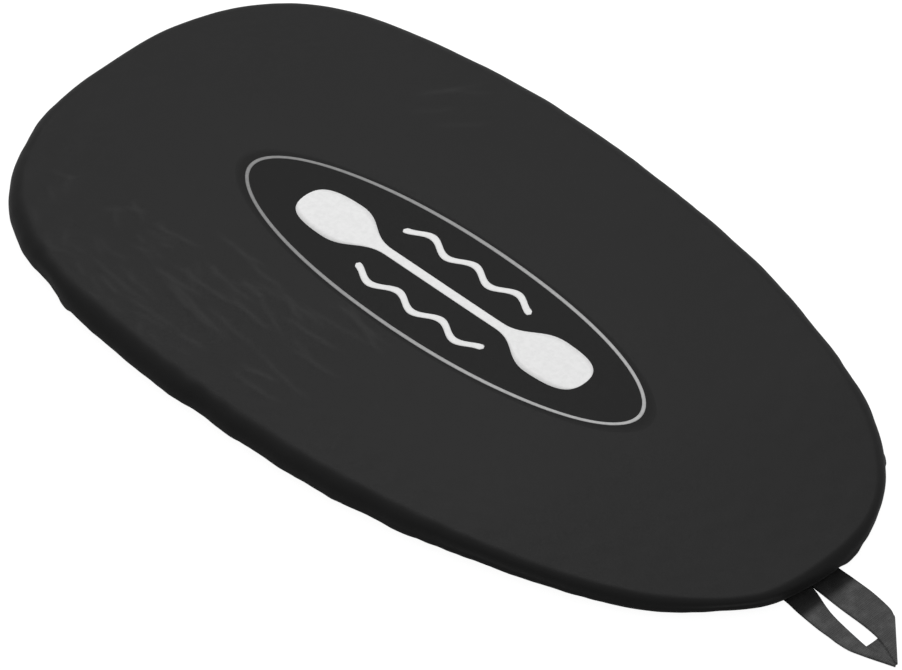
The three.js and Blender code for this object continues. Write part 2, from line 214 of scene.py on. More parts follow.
def link(name, vertices, faces, smooth=True):
    mesh = bpy.data.meshes.new(name)
    mesh.from_pydata([tuple(v) for v in vertices], [], [tuple(f) for f in faces])
    mesh.validate()
    piece = bpy.data.objects.new(name, mesh)
    bpy.context.scene.collection.objects.link(piece)
    mesh.polygons.foreach_set("use_smooth", [smooth] * len(mesh.polygons))
    return piece


def grid_faces(rows, columns, rings=False, first=0):
    """Faces of a grid of vertices that starts at first. With rings, each row closes on itself."""
    faces = []
    for i in range(rows - 1):
        a = first + i * columns
        b = a + columns
        for j in range(columns if rings else columns - 1):
            k = (j + 1) % columns
            faces.append((a + j, b + j, b + k, a + k))
    return faces


def outward(piece):
    bm = bmesh.new()
    bm.from_mesh(piece.data)
    bmesh.ops.recalc_face_normals(bm, faces=bm.faces)
    bm.to_mesh(piece.data)
    bm.free()


def face_up(piece):
    """Turns an open sheet so that it faces up."""
    outward(piece)
    if piece.data.polygons[0].normal.z < 0:
        piece.data.flip_normals()


def set_uv(piece, uv_of_vertex):
    """Stores the place on the flat cloth, in metres, that each vertex came from."""
    layer = piece.data.uv_layers.new(name="cloth")
    loops = np.zeros(len(piece.data.loops), np.int32)
    piece.data.loops.foreach_get("vertex_index", loops)
    layer.data.foreach_set("uv", np.asarray(uv_of_vertex, np.float32)[loops].ravel())


def set_share(piece, name, share_of_vertex):
    """Stores a value for each vertex that the piece's material can read by name."""
    layer = piece.data.attributes.new(name, "FLOAT", "POINT")
    layer.data.foreach_set("value", np.asarray(share_of_vertex, np.float32).ravel())


def bake(piece):
    """Applies the piece's modifiers."""
    graph = bpy.context.evaluated_depsgraph_get()
    evaluated = piece.evaluated_get(graph)
    mesh = bpy.data.meshes.new_from_object(evaluated, preserve_all_data_layers=True, depsgraph=graph)
    piece.modifiers.clear()
    piece.data = mesh


def thicken(piece, thickness, offset):
    solid = piece.modifiers.new("thickness", "SOLIDIFY")
    solid.thickness = thickness
    solid.offset = offset
    solid.use_even_offset = True
    bake(piece)
    outward(piece)


def sheet(name, rows, cloth, thickness):
    """A sheet of cloth or tape through rows of points, with half its thickness on each side of them."""
    piece = link(name, np.vstack(rows), grid_faces(len(rows), len(rows[0])))
    set_uv(piece, cloth)
    thicken(piece, thickness, 0)
    return piece


def tube(name, centres, radius, sides):
    """A capped tube along centres, with its cloth coordinates along and round it."""
    centres = np.asarray(centres, float)
    tangent = np.gradient(centres, axis=0)
    tangent /= np.linalg.norm(tangent, axis=1)[:, None]
    side = np.cross(np.array([0, 0, 1.0]), tangent)
    side /= np.linalg.norm(side, axis=1)[:, None]
    up = np.cross(tangent, side)
    angle = np.linspace(0, 2 * math.pi, sides, endpoint=False)
    ring = side[:, None] * np.cos(angle)[None, :, None] + up[:, None] * np.sin(angle)[None, :, None]
    points = (centres[:, None] + radius * ring).reshape(-1, 3)
    rows = len(centres)
    faces = grid_faces(rows, sides, rings=True)
    faces += [tuple(range(sides)), tuple(range((rows - 1) * sides, rows * sides))]
    piece = link(name, points, faces)
    outward(piece)
    round_it = np.minimum(angle, 2 * math.pi - angle) * radius
    set_uv(piece, np.stack([np.repeat(distances(centres), sides), np.tile(round_it, rows)], 1))
    return piece


def lathe(name, profile, start, axis):
    """A turned piece: profile is (radius, distance along axis) from one point on the axis to another."""
    axis = Vector(axis).normalized()
    across = axis.orthogonal().normalized()
    other = axis.cross(across)
    rows = profile[1:-1]
    start = Vector(start)
    points = [start + axis * profile[0][1], start + axis * profile[-1][1]]
    segments = 48
    for radius, along in rows:
        for k in range(segments):
            a = 2 * math.pi * k / segments
            points.append(start + axis * along + (across * math.cos(a) + other * math.sin(a)) * radius)
    faces = grid_faces(len(rows), segments, rings=True, first=2)
    last = 2 + (len(rows) - 1) * segments
    for k in range(segments):
        n = (k + 1) % segments
        faces.append((0, 2 + k, 2 + n))
        faces.append((1, last + n, last + k))
    piece = link(name, points, faces)
    outward(piece)
    return piece


def rounded(corners, radius):
    """A lathe profile with its corners rounded by about radius. The first and last points stay."""
    result = [corners[0]]
    for before, corner, after in zip(corners, corners[1:], corners[2:]):
        b, c, a = Vector(before), Vector(corner), Vector(after)
        cut = min(radius, (c - b).length * 0.45, (a - c).length * 0.45)
        start = c + (b - c).normalized() * cut
        end = c + (a - c).normalized() * cut
        for t in shares(4):
            result.append(tuple(start.lerp(c, t).lerp(c.lerp(end, t), t)))
    result.append(corners[-1])
    return result


def block(low, high):
    """A plain box used as a cutter."""
    corners = [(x, y, z) for x in (low[0], high[0]) for y in (low[1], high[1]) for z in (low[2], high[2])]
    faces = [(0, 1, 3, 2), (4, 6, 7, 5), (0, 4, 5, 1), (2, 3, 7, 6), (0, 2, 6, 4), (1, 5, 7, 3)]
    piece = link("cutter", corners, faces, smooth=False)
    outward(piece)
    return piece


def carve(piece, *cutters):
    for cutter in cutters:
        cut = piece.modifiers.new("cut", "BOOLEAN")
        cut.operation = "DIFFERENCE"
        cut.object = cutter
        cut.solver = "EXACT"
    bake(piece)
    for cutter in cutters:
        bpy.data.objects.remove(cutter)


def soften(piece, width, angle=35):
    bevel = piece.modifiers.new("soften", "BEVEL")
    bevel.width = width
    bevel.segments = 2
    bevel.limit_method = "ANGLE"
    bevel.angle_limit = math.radians(angle)
    bevel.use_clamp_overlap = True
    bake(piece)
    piece.data.polygons.foreach_set("use_smooth", [True] * len(piece.data.polygons))
    piece.data.set_sharp_from_angle(angle=math.radians(angle))


def finish_piece(piece, slot, body=None, replaces=()):
    """Gives the piece its material, the body it rides on and the CAD nodes it stands for."""
    piece.data.materials.clear()
    piece.data.materials.append(MATERIALS[slot])
    if body:
        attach(piece, body)
    if replaces:
        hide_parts(*replaces)
    return piece


# ---------- Node materials ----------


def grey(value):
    return (value, value, value)


class Nodes:
    """A short way to write the node tree of a material or a world."""

    def __init__(self, owner):
        self.owner = owner
        owner.use_nodes = True
        self.tree = owner.node_tree
        self.tree.nodes.clear()

    def add(self, kind, *first_inputs, **rest):
        """A node with these values or links in its first inputs.

        A capitalised keyword is an input by its name, and a plain one is a setting.
        """
        node = self.tree.nodes.new(kind)
        for key, value in rest.items():
            if key[0].isupper():
                self.put(value, node.inputs[key.replace("_", " ")])
            else:
                setattr(node, key, value)
        for value, socket in zip(first_inputs, node.inputs):
            self.put(value, socket)
        return node

    def put(self, value, socket):
        """Links another node's output to a socket, or sets its number, vector or colour."""
        if isinstance(value, bpy.types.NodeSocket):
            self.tree.links.new(value, socket)
        elif socket.type == "RGBA":
            socket.default_value = (*value, 1)
        else:
            socket.default_value = value

    def surface(self, **inputs):
        """Gives the material its one shader, with these inputs, and returns the material."""
        shader = self.add("ShaderNodeBsdfPrincipled", **inputs)
        self.add("ShaderNodeOutputMaterial", shader.outputs[0])
        return self.owner

    def by_ray(self, output, to_camera, to_others):
        """Shows one shader to the rays from the camera, and another to all other rays."""
        camera_ray = self.add("ShaderNodeLightPath").outputs["Is Camera Ray"]
        mix = self.add("ShaderNodeMixShader", camera_ray, to_others, to_camera)
        self.add(output, mix.outputs[0])

    def split(self, vector):
        return self.add("ShaderNodeSeparateXYZ", vector).outputs

    def math(self, operation, a, b=0.0, c=0.0):
        return self.add("ShaderNodeMath", a, b, c, operation=operation).outputs[0]

    def sine(self, value, factor):
        """The sine of a value times this factor."""
        return self.math("SINE", self.math("MULTIPLY", value, factor))

    def noise(self, scale, detail=2.0, roughness=0.5):
        looks = dict(Scale=scale, Detail=detail, Roughness=roughness)
        return self.add("ShaderNodeTexNoise", self.place(), **looks).outputs[0]

    def ramp(self, value, *ends):
        """A smooth ramp: ends are the values where it starts and stops, and what it gives there."""
        return self.add("ShaderNodeMapRange", value, *ends, interpolation_type="SMOOTHSTEP").outputs[0]

    def mix(self, share, a, b):
        node = self.add("ShaderNodeMix", share, data_type="RGBA")
        for value, key in ((a, "A"), (b, "B")):
            self.put(value, next(s for s in node.inputs if s.name == key and s.type == "RGBA"))
        return next(s for s in node.outputs if s.type == "RGBA")

    def bump(self, height, distance, strength=1.0, **below):
        """A bump. Normal is the bump that it lies on, if there is one."""
        looks = dict(Height=height, Distance=distance, Strength=strength)
        return self.add("ShaderNodeBump", **looks, **below).outputs[0]

    def cloth_uv(self):
        """The two cloth coordinates, in metres."""
        return self.split(self.add("ShaderNodeUVMap", uv_map="cloth").outputs[0])[:2]

    def place(self):
        """The position in the CAD's frame, in metres."""
        return self.add("ShaderNodeTexCoord").outputs["Object"]

    def share(self, name):
        """A value that set_share stored, or 0 on a piece without it."""
        return self.add("ShaderNodeAttribute", attribute_name=name).outputs["Fac"]

    def oval_distance(self):
        """Distance from the emblem's middle as a share of its oval: 1 on the oval."""
        parts = []
        for across, low, high in zip(self.cloth_uv(), OVAL_LOW, OVAL_HIGH):
            off = self.math("SUBTRACT", across, (low + high) / 2)
            parts.append(self.math("POWER", self.math("DIVIDE", off, (high - low) / 2), 2.0))
        return self.math("SQRT", self.math("ADD", *parts))

    def weave(self, pitch_u, pitch_v, twill=1):
        """Height from 0 to 1 of a weave: threads go over and under each other in turn, shifted by twill."""
        u, v = self.cloth_uv()
        u = self.math("DIVIDE", u, pitch_u)
        v = self.math("DIVIDE", v, pitch_v)
        shift = self.math("MULTIPLY", self.math("FLOOR", v), float(twill))
        over = self.math("PINGPONG", self.math("ADD", self.math("FLOOR", u), shift), 1.0)
        hill_u = self.sine(self.math("FRACT", u), math.pi)
        hill_v = self.sine(self.math("FRACT", v), math.pi)
        warp = self.math("MULTIPLY", hill_u, self.math("MULTIPLY_ADD", over, 0.5, 0.5))
        weft = self.math("MULTIPLY", hill_v, self.math("MULTIPLY_ADD", over, -0.5, 1.0))
        return self.math("MAXIMUM", warp, weft)


# ---------- Materials ----------


def material(name):
    return Nodes(bpy.data.materials.new(name))


# Dark of the webbing's woven edges, and of the painted shadow at the loop's root.
WEBBING_EDGE_AND_SHADOW_DARK = grey(0.005)
CLOTH_DARK = (0.0056, 0.0056, 0.0057)
CLOTH_LIGHT = (0.0066, 0.0066, 0.0067)
# Colour of the painted highlight along the ridges of the panel's creases.
CLOTH_RIDGE_HIGHLIGHT = grey(0.0135)
CLOTH_SHINE = 0.155
GROUND_DARK = grey(0.0042)
GROUND_SHINE = 0.112
# The emblem's dark ground, and round it a painted shade halo that fades out between these shares of its oval.
HALO_START = 1.015
HALO_SHARE = 1.07


def nylon(name="nylon", print_and_shade_halo=False):
    """Coated oxford nylon: satin, with slubs in the weave and a soft bloom of wear.

    Given the flag, it carries the emblem's dark ground, and round the oval a painted shade halo that fades
    out into plain cloth.
    """
    n = material(name)
    weave = n.weave(0.9 * MM, 0.9 * MM)
    slubs = n.noise(900.0, 3.0)
    bloom = n.noise(9.0, 4.0, 0.6)
    dark = n.mix(n.ramp(bloom, 0.3, 0.7), CLOTH_DARK, CLOTH_LIGHT)
    thread = n.math("MULTIPLY_ADD", weave, 0.25, n.math("MULTIPLY", slubs, 0.35))
    colour = n.mix(n.ramp(thread, 0.1, 0.6), n.mix(0.5, dark, GROUND_DARK), dark)
    # Painted highlight: the ridges of the creases are painted paler.
    colour = n.mix(n.share("ridge_highlight"), colour, CLOTH_RIDGE_HIGHLIGHT)
    shine = CLOTH_SHINE
    if print_and_shade_halo:
        # Painted shade: past the oval's line the dark ground colour and its lower shine fade out as a halo.
        share = n.ramp(n.oval_distance(), HALO_START, HALO_SHARE)
        colour = n.mix(share, GROUND_DARK, colour)
        shine = n.math("MULTIPLY_ADD", share, CLOTH_SHINE - GROUND_SHINE, GROUND_SHINE)
    return n.surface(
        Base_Color=colour,
        Roughness=n.ramp(slubs, 0.3, 0.7, 0.5, 0.6),
        Specular_IOR_Level=shine,
        Sheen_Weight=0.05,
        Sheen_Roughness=0.45,
        Normal=n.bump(weave, 0.06 * MM, 0.55, Normal=n.bump(slubs, 0.12 * MM, 0.35)),
    )


def binding():
    """Grosgrain tape round the cord, with ribs across it."""
    n = material("binding")
    ribs = n.sine(n.cloth_uv()[0], 2 * math.pi / (0.9 * MM))
    fuzz = n.noise(700.0, 3.0)
    return n.surface(
        Base_Color=n.mix(fuzz, grey(0.006), grey(0.016)),
        Roughness=0.8,
        Specular_IOR_Level=0.25,
        Sheen_Weight=0.2,
        Normal=n.bump(ribs, 0.12 * MM, 0.8, Normal=n.bump(fuzz, 0.1 * MM, 0.4)),
    )


def webbing():
    """Flat nylon webbing: a coarse twill, dusty on its crowns, with dark woven edges, and painted shadow at
    its root where the rim shades it.
    """
    n = material("webbing")
    weave = n.weave(1.7 * MM, 1.25 * MM, 2)
    dust = n.noise(75.0, 5.0, 0.65)
    fuzz = n.noise(1400.0)
    yarn = n.mix(n.ramp(weave, 0.3, 0.95), grey(0.018), grey(0.05))
    colour = n.mix(n.ramp(dust, 0.4, 0.75, 0.0, 0.65), yarn, grey(0.1))
    colour = n.mix(n.math("MULTIPLY", n.share("selvage"), 0.7), colour, WEBBING_EDGE_AND_SHADOW_DARK)
    # Painted shadow: near the hinge the webbing is painted dark and loses its shine, fading out between 3 and
    # 13 mm past it, where the rim's shadow falls on it.
    root = HINGES["loop_fold"].x
    clear = n.ramp(n.split(n.place())[0], root + 3 * MM, root + 13 * MM, 0.22, 1.0)
    return n.surface(
        Base_Color=n.mix(clear, WEBBING_EDGE_AND_SHADOW_DARK, colour),
        Roughness=0.78,
        Specular_IOR_Level=n.math("MULTIPLY", clear, 0.3),
        Sheen_Weight=n.math("MULTIPLY", clear, 0.25),
        Normal=n.bump(weave, 0.35 * MM, 0.8, Normal=n.bump(fuzz, 0.15 * MM, 0.4)),
    )


def thread():
    n = material("thread")
    u, v = n.cloth_uv()
    ply = n.sine(n.math("ADD", u, v), 2 * math.pi / (0.55 * MM))
    shade = n.noise(60.0)
    return n.surface(
        Base_Color=n.mix(shade, grey(0.012), grey(0.03)),
        Roughness=0.5,
        Sheen_Weight=0.2,
        Normal=n.bump(ply, 0.08 * MM, 0.8),
    )


def braid():
    """The cord's braided cover: two sets of yarns crossing on the slant."""
    n = material("cord")
    u, v = n.cloth_uv()
    turn = math.pi / (2.2 * MM)
    left, right = (n.math("ABSOLUTE", n.sine(n.math(way, u, v), turn)) for way in ("ADD", "SUBTRACT"))
    height = n.math("MAXIMUM", left, n.math("MULTIPLY", right, 0.9))
    fleck = n.noise(500.0)
    yarn = n.mix(fleck, grey(0.015), grey(0.04))
    return n.surface(
        Base_Color=n.mix(n.ramp(height, 0.5, 1.0), grey(0.006), yarn),
        Roughness=0.6,
        Sheen_Weight=0.2,
        Normal=n.bump(height, 0.3 * MM, 0.8),
    )


def plastic():
    """Moulded acetal: fine spark-eroded grain, shinier where it is handled."""
    n = material("lock_plastic")
    grain = n.noise(2500.0)
    rubbed = n.noise(120.0, 3.0)
    return n.surface(
        Base_Color=n.mix(rubbed, grey(0.006), grey(0.014)),
        Roughness=n.ramp(rubbed, 0.35, 0.65, 0.32, 0.5),
        Specular_IOR_Level=0.5,
        Normal=n.bump(grain, 0.05 * MM, 0.5),
    )


def steel():
    n = material("spring_steel")
    streaks = n.noise(1500.0)
    return n.surface(
        Base_Color=n.mix(streaks, (0.38, 0.38, 0.4), (0.55, 0.55, 0.56)),
        Metallic=1.0,
        Roughness=n.ramp(streaks, 0.3, 0.7, 0.22, 0.38),
        Normal=n.bump(streaks, 0.02 * MM, 0.4),
    )


def label_cloth():
    """Blank woven satin tape."""
    n = material("label")
    weave = n.weave(0.35 * MM, 0.35 * MM)
    grime = n.noise(90.0, 4.0)
    return n.surface(
        Base_Color=n.mix(n.ramp(grime, 0.45, 0.8), (0.7, 0.7, 0.67), (0.5, 0.49, 0.45)),
        Roughness=0.55,
        Sheen_Weight=0.3,
        Normal=n.bump(weave, 0.08 * MM, 0.7),
    )


def ink(name, light, dark, roughness, shine, stern=1.0):
    """Screen print: mottled in colour, with a faint bump of slubs.

    stern is how bright it is at the oval's stern end, as a share of its colour at the bow end.
    """
    n = material(name)
    mottle = n.noise(260.0, 4.0, 0.6)
    slubs = n.noise(900.0)
    colour = n.mix(n.ramp(mottle, 0.3, 0.72), light, dark)
    fade = n.ramp(n.cloth_uv()[0], OVAL_LOW.x, OVAL_HIGH.x, stern, 1.0)
    return n.surface(
        Base_Color=n.mix(fade, grey(0.0), colour),
        Roughness=roughness,
        Specular_IOR_Level=shine,
        Normal=n.bump(slubs, 0.1 * MM, 0.4),
    )


MATERIALS = {
    "nylon": nylon(),
    "binding": binding(),
    "webbing": webbing(),
    "thread": thread(),
    "cord": braid(),
    "lock_plastic": plastic(),
    "spring_steel": steel(),
    "label": label_cloth(),
    "ink_dark": nylon("ink_dark", print_and_shade_halo=True),
    "ink_grey": ink("ink_grey", grey(0.47), grey(0.4), 0.5, 0.3, stern=0.52),
    "ink_white": ink("ink_white", grey(0.84), grey(0.78), 0.5, 0.3),
}


# ---------- Cover panel ----------

# The shoulder's radius along the cover, slack over the back half and taut at the bow: x, radius.
TOP_ROLL = [(-430, 12), (-300, 16.8), (-100, 16.8), (60, 14.5), (200, 12.5), (430, 9.5)]
SHOULDER_DROP = 17 * MM
LOWER_ROLL = 8.5 * MM
PANEL_EDGE_INSET = 23 * MM
PANEL_EDGE_Z = PANEL_LOW.z + 0.8 * MM
FABRIC = 0.6 * MM
TOP_RINGS = 150
RING_SPREAD = 0.72
RELIEF_FADE = 14 * MM


def crease_lines():
    """Fine creases in the panel, most of them aft and to starboard: middle, half length, heading, height."""
    draw = np.random.default_rng(SEED + 40)
    lines = []
    for _ in range(34):
        middle = (draw.uniform(-300, -20) * MM, draw.uniform(-200, -75) * MM)
        heading = math.radians(draw.normal(-5, 9))
        lines.append((middle, draw.uniform(12, 36) * MM, heading, draw.uniform(0.25, 0.5) * MM))
    for _ in range(46):
        middle = (draw.uniform(-375, -120) * MM, draw.uniform(-214, -110) * MM)
        heading = math.radians(draw.uniform(-55, 40))
        lines.append((middle, draw.uniform(6, 14) * MM, heading, draw.uniform(0.14, 0.34) * MM))
    for _ in range(5):
        middle = (draw.uniform(-210, -130) * MM, draw.uniform(140, 195) * MM)
        lines.append((middle, draw.uniform(16, 30) * MM, math.radians(draw.normal(48, 8)), 0.2 * MM))
    return lines


CREASES = crease_lines()
# How far a crease's two sides reach, and the painted highlight on its ridge; how it bends and wobbles on its
# way.
CREASE_STEEP = 4.5 * MM
CREASE_GENTLE = 8 * MM
CREASE_HIGHLIGHT_WIDTH = 2.6 * MM
CREASE_BEND = 0.05
CREASE_WOBBLE = 0.8 * MM
CREASE_WOBBLE_SHORT = 6.5 * MM
CREASE_WOBBLE_LONG = 15 * MM


def swell_waves(count, shortest, longest, size, seed):
    """Waves to add up into soft swells: pull along x and y, phase, height."""
    draw = np.random.default_rng(SEED + seed)
    waves = []
    for _ in range(count):
        length = draw.uniform(shortest, longest)
        heading = draw.uniform(0, math.pi)
        pull = (math.cos(heading) * 2 * math.pi / length, math.sin(heading) * 2 * math.pi / length)
        waves.append((pull, draw.uniform(0, 2 * math.pi), size))
    return waves


SLOW_SWELLS = swell_waves(9, 110 * MM, 260 * MM, 0.07 * MM, 50)
RIM_RUMPLES = swell_waves(12, 17 * MM, 48 * MM, 0.055 * MM, 51)


def rim_share(x, y):
    """How near a place on the panel is to the rim: 0 in the middle and 1 on the outline."""
    half = np.where(x > WIDEST_X, REACH[0], REACH[1])
    power = np.where(x > WIDEST_X, FULLNESS[0], FULLNESS[1])
    return ((np.abs(x - WIDEST_X) / half) ** power + (np.abs(y) / HALF_WIDTH) ** power) ** (1 / power)


def crease_frames(x, y):
    """For each crease: how much of it is left at this place, the distance off its line, its height."""
    for (mx, my), half, heading, size in CREASES:
        c, s = math.cos(heading), math.sin(heading)
        along = (x - mx) * c + (y - my) * s
        off = (y - my) * c - (x - mx) * s - CREASE_BEND * along**2 / half
        short = np.sin(along / CREASE_WOBBLE_SHORT + mx / MM)
        off = off + CREASE_WOBBLE * short * np.sin(along / CREASE_WOBBLE_LONG + my / MM)
        yield np.exp(-((along / half) ** 4)), off, size


def crease_ridge_highlight(x, y):
    """A painted highlight, pale along the ridge of each crease: 0 is none."""
    creases = crease_frames(x, y)
    highlit = sum(left * size * np.exp(-((off / CREASE_HIGHLIGHT_WIDTH) ** 2)) for left, off, size in creases)
    return np.clip(highlit / (0.5 * MM), 0, 1)


def top_relief(x, y):
    """Height of the stretched panel over its flat plane: slow swells and fine creases."""
    x, y = np.asarray(x, float), np.asarray(y, float)
    height = np.zeros_like(x)
    for (px, py), phase, size in SLOW_SWELLS:
        height += size * np.cos(px * x + py * y + phase)
    rumpled = smoothstep(0.62, 0.88, rim_share(x, y)) * (0.3 + smoothstep(150 * MM, -150 * MM, x + y))
    for (px, py), phase, size in RIM_RUMPLES:
        height += rumpled * size * np.cos(px * x + py * y + phase)
    for left, off, size in crease_frames(x, y):
        width = np.where(off < 0, CREASE_STEEP, CREASE_GENTLE)
        height += size * left * np.exp(-((off / width) ** 2))
    return height


# The panel hangs towards the bow: the way, where it starts and ends along that way, and how deep.
DROOP_WAY = (0.97, -0.25)
DROOP_START = 215 * MM
DROOP_FULL = 425 * MM
DROOP_DEPTH = 7 * MM


def droop(x, y):
    """How far the panel hangs below its flat plane, towards the bow."""
    return DROOP_DEPTH * smoothstep(DROOP_START, DROOP_FULL, x * DROOP_WAY[0] + y * DROOP_WAY[1])


def top_height(x, y):
    return TOP_Z - droop(x, y) + top_relief(x, y)


EDGE_DROOP = droop(EDGE[:, 0], EDGE[:, 1])
ROLL = np.interp(EDGE[:, 0] / MM, *zip(*TOP_ROLL)) * MM
ROLL = np.minimum(ROLL, SHOULDER_DROP - EDGE_DROOP - 0.2 * MM)


def leaned(z):
    """How far the wall has leaned in at this height."""
    return LEAN * smoothstep(0, 1, (TOP_Z - EDGE_DROOP - z) / (SHOULDER_DROP - EDGE_DROOP))


def rim_section():
    """The rim from the end of the flat top, round and under, to the edge in the hem.

    Each row has the inset and height at every station, and how far its outward normal points out and up.
    """
    rows = []

    def add(inset, z, out, up):
        rows.append((np.broadcast_to(inset, STATIONS), np.broadcast_to(z, STATIONS), out, up))

    for a in np.radians(np.linspace(90, 0, 18)):
        z = TOP_Z - EDGE_DROOP - ROLL * (1 - math.sin(a))
        add(ROLL * (1 - math.cos(a)) + leaned(z), z, math.cos(a), math.sin(a))
    low, foot = rows[-1][1], TOP_Z - SHOULDER_DROP
    for k in (1, 2):
        z = low + (foot - low) * k / 3
        add(leaned(z), z, 1, 0)
    for a in np.radians(np.linspace(0, -88, 13)):
        inset = LOWER_ROLL * (1 - math.cos(a)) + LEAN
        add(inset, foot + LOWER_ROLL * math.sin(a), math.cos(a), math.sin(a))
    inset, z = rows[-1][:2]
    for k in range(1, 11):
        t = k / 10
        add(inset + (PANEL_EDGE_INSET - inset) * t, z + (PANEL_EDGE_Z - z) * t, 0.05, -1)
    return rows


HEM_GATHERS = gathers(12 * MM, 11)
MIDDLE_GATHERS = gathers(27 * MM, 21)
SLOW_FOLDS = edge_noise(75 * MM, 31)
QUICK_FOLDS = edge_noise(24 * MM, 32)
SLOW_DEPTH = 0.35 * MM
QUICK_DEPTH = 0.07 * MM
MIDDLE_DEPTH = 0.2 * MM
HEM_DEPTH = 1.0 * MM
# Where a bunch of the gathered hem bulges out past the rim: x, y, half length along the rim, depth.
BUNCHES = [(-254, -218, 9, 2.0), (372, 126, 7, 2.6), (429, 27, 13, 2.2)]
PEEKS = sum(lobe(x, y, half, 4) * depth * MM for x, y, half, depth in BUNCHES)
SHOULDER = (math.pi / 2 - 1) * ROLL + SHOULDER_DROP - EDGE_DROOP


def rim_push(travel):
    """How far the fabric stands out from the plain section, this far round it from the flat."""
    wall = ROLL * math.pi / 2
    under = SHOULDER + LOWER_ROLL * math.pi / 2
    hem = under + PANEL_EDGE_INSET - LOWER_ROLL
    rolled = smoothstep(0.1, 1, travel / wall)
    lower = smoothstep(0, 1, (travel - wall) / (under - wall))
    near_hem = smoothstep(0, 1, (travel - under + 6 * MM) / (hem - under + 6 * MM))
    push = rolled * (SLOW_DEPTH * SLOW_FOLDS + QUICK_DEPTH * QUICK_FOLDS)
    push += lower * MIDDLE_DEPTH * MIDDLE_GATHERS
    push += near_hem * HEM_DEPTH * HEM_GATHERS
    push += smoothstep(0, 7 * MM, travel - wall) * (1 - near_hem) * PEEKS
    return push


def cover_panel():
    section = rim_section()
    flat = EDGE + INWARD * ROLL[:, None]
    vertices = [np.array([[0, 0, float(top_height(0, 0))]])]
    cloth = [np.zeros((1, 2))]
    for k in range(1, TOP_RINGS + 1):
        ring = flat * (k / TOP_RINGS) ** RING_SPREAD
        vertices.append(np.column_stack([ring, top_height(ring[:, 0], ring[:, 1])]))
        cloth.append(ring)
    relief = top_height(flat[:, 0], flat[:, 1]) - (TOP_Z - EDGE_DROOP)
    travel = np.zeros(STATIONS)
    for before, (inset, z, out, up) in zip(section[:-1], section[1:]):
        travel = travel + np.hypot(inset - before[0], z - before[1])
        push = rim_push(travel)
        fade = relief * (1 - smoothstep(0, RELIEF_FADE, travel))
        xy = EDGE + INWARD * (inset - push * out)[:, None]
        vertices.append(np.column_stack([xy, z + push * up + fade]))
        cloth.append(flat - INWARD * travel[:, None])
    rows = len(vertices) - 1
    faces = [(0, 1 + k, 1 + (k + 1) % STATIONS) for k in range(STATIONS)]
    faces += grid_faces(rows, STATIONS, rings=True, first=1)
    piece = link("nylon_panel", np.vstack(vertices), faces)
    face_up(piece)
    set_uv(piece, np.vstack(cloth))
    # Painted highlight along the crease ridges of the flat top, which the nylon material reads.
    top = np.vstack(vertices[: TOP_RINGS + 1])
    ridge_highlight = np.zeros(len(piece.data.vertices))
    ridge_highlight[: len(top)] = crease_ridge_highlight(top[:, 0], top[:, 1])
    set_share(piece, "ridge_highlight", ridge_highlight)
    thicken(piece, FABRIC, -1)
    return finish_piece(piece, "nylon", "cover", ["cover_panel"])


cover_panel()


# ---------- Hem: casing, seam and cord ----------

CORD_INSET = 29 * MM
LIP_INSET = 20 * MM
LIP_WIDTH = 2.5 * MM
SEAM_INSET = 22 * MM
CASING_RADIUS = 3.65 * MM
CASING_CLOTH = 0.7 * MM
LIP_HALF_GAP = 1.25 * MM
CORD_RADIUS = (TAIL_HIGH.z - TAIL_LOW.z) / 2
CORD_SIDES = 14
TAIL_Y = (TAIL_LOW.y + TAIL_HIGH.y) / 2
TAIL_Z = (TAIL_LOW.z + TAIL_HIGH.z) / 2
HEM_Z = HEM_LOW.z + 4.1 * MM
STERN_GAP = 22.5 * MM
HEM_TRAVEL = SHOULDER + LOWER_ROLL * math.pi / 2 + PANEL_EDGE_INSET - LOWER_ROLL
HEM_PUSH = rim_push(HEM_TRAVEL)
SLEEVE_GATHERS = gathers(9 * MM, 61)
SLEEVE_DEPTH = 0.45 * MM


def in_casing(margin=0.0):
    """The stations where the casing runs, which stops short of the stern on both sides."""
    return np.where((ALONG > STERN_GAP + margin) & (ALONG < PERIMETER - STERN_GAP - margin))[0]


def rim_tangent():
    step = np.roll(EDGE, -1, 0) - np.roll(EDGE, 1, 0)
    return step / np.linalg.norm(step, axis=1)[:, None]


TANGENT = rim_tangent()


def hem_casing():
    stations = in_casing()
    section = [(LIP_INSET, LIP_HALF_GAP, 0), (LIP_INSET + LIP_WIDTH, LIP_HALF_GAP, 0)]
    opening = math.degrees(math.asin(LIP_HALF_GAP / CASING_RADIUS))
    for a in np.radians(np.linspace(opening, 360 - opening, 20)):
        section.append((CORD_INSET - CASING_RADIUS * math.cos(a), CASING_RADIUS * math.sin(a), 1))
    section += [(LIP_INSET + LIP_WIDTH, -LIP_HALF_GAP, 0), (LIP_INSET, -LIP_HALF_GAP, 0)]
    points, cloth = [], []
    travel = 0.0
    for k, (inset, height, sleeve) in enumerate(section):
        if k:
            travel += math.hypot(inset - section[k - 1][0], height - section[k - 1][1])
        swell = sleeve * SLEEVE_DEPTH * SLEEVE_GATHERS[stations]
        direction = np.array([inset - CORD_INSET, height]) / CASING_RADIUS
        xy = EDGE[stations] + INWARD[stations] * (inset + swell * direction[0])[:, None]
        z = HEM_Z + height + swell * direction[1] - HEM_PUSH[stations] * (1 - 0.7 * sleeve)
        points.append(np.column_stack([xy, np.maximum(z, FLOOR_Z + CASING_CLOTH / 2)]))
        cloth.append(np.column_stack([ALONG[stations], np.full(len(stations), travel)]))
    piece = sheet("hem_casing_tape", points, np.vstack(cloth), CASING_CLOTH)
    return finish_piece(piece, "binding", "cover", ["hem_casing"])


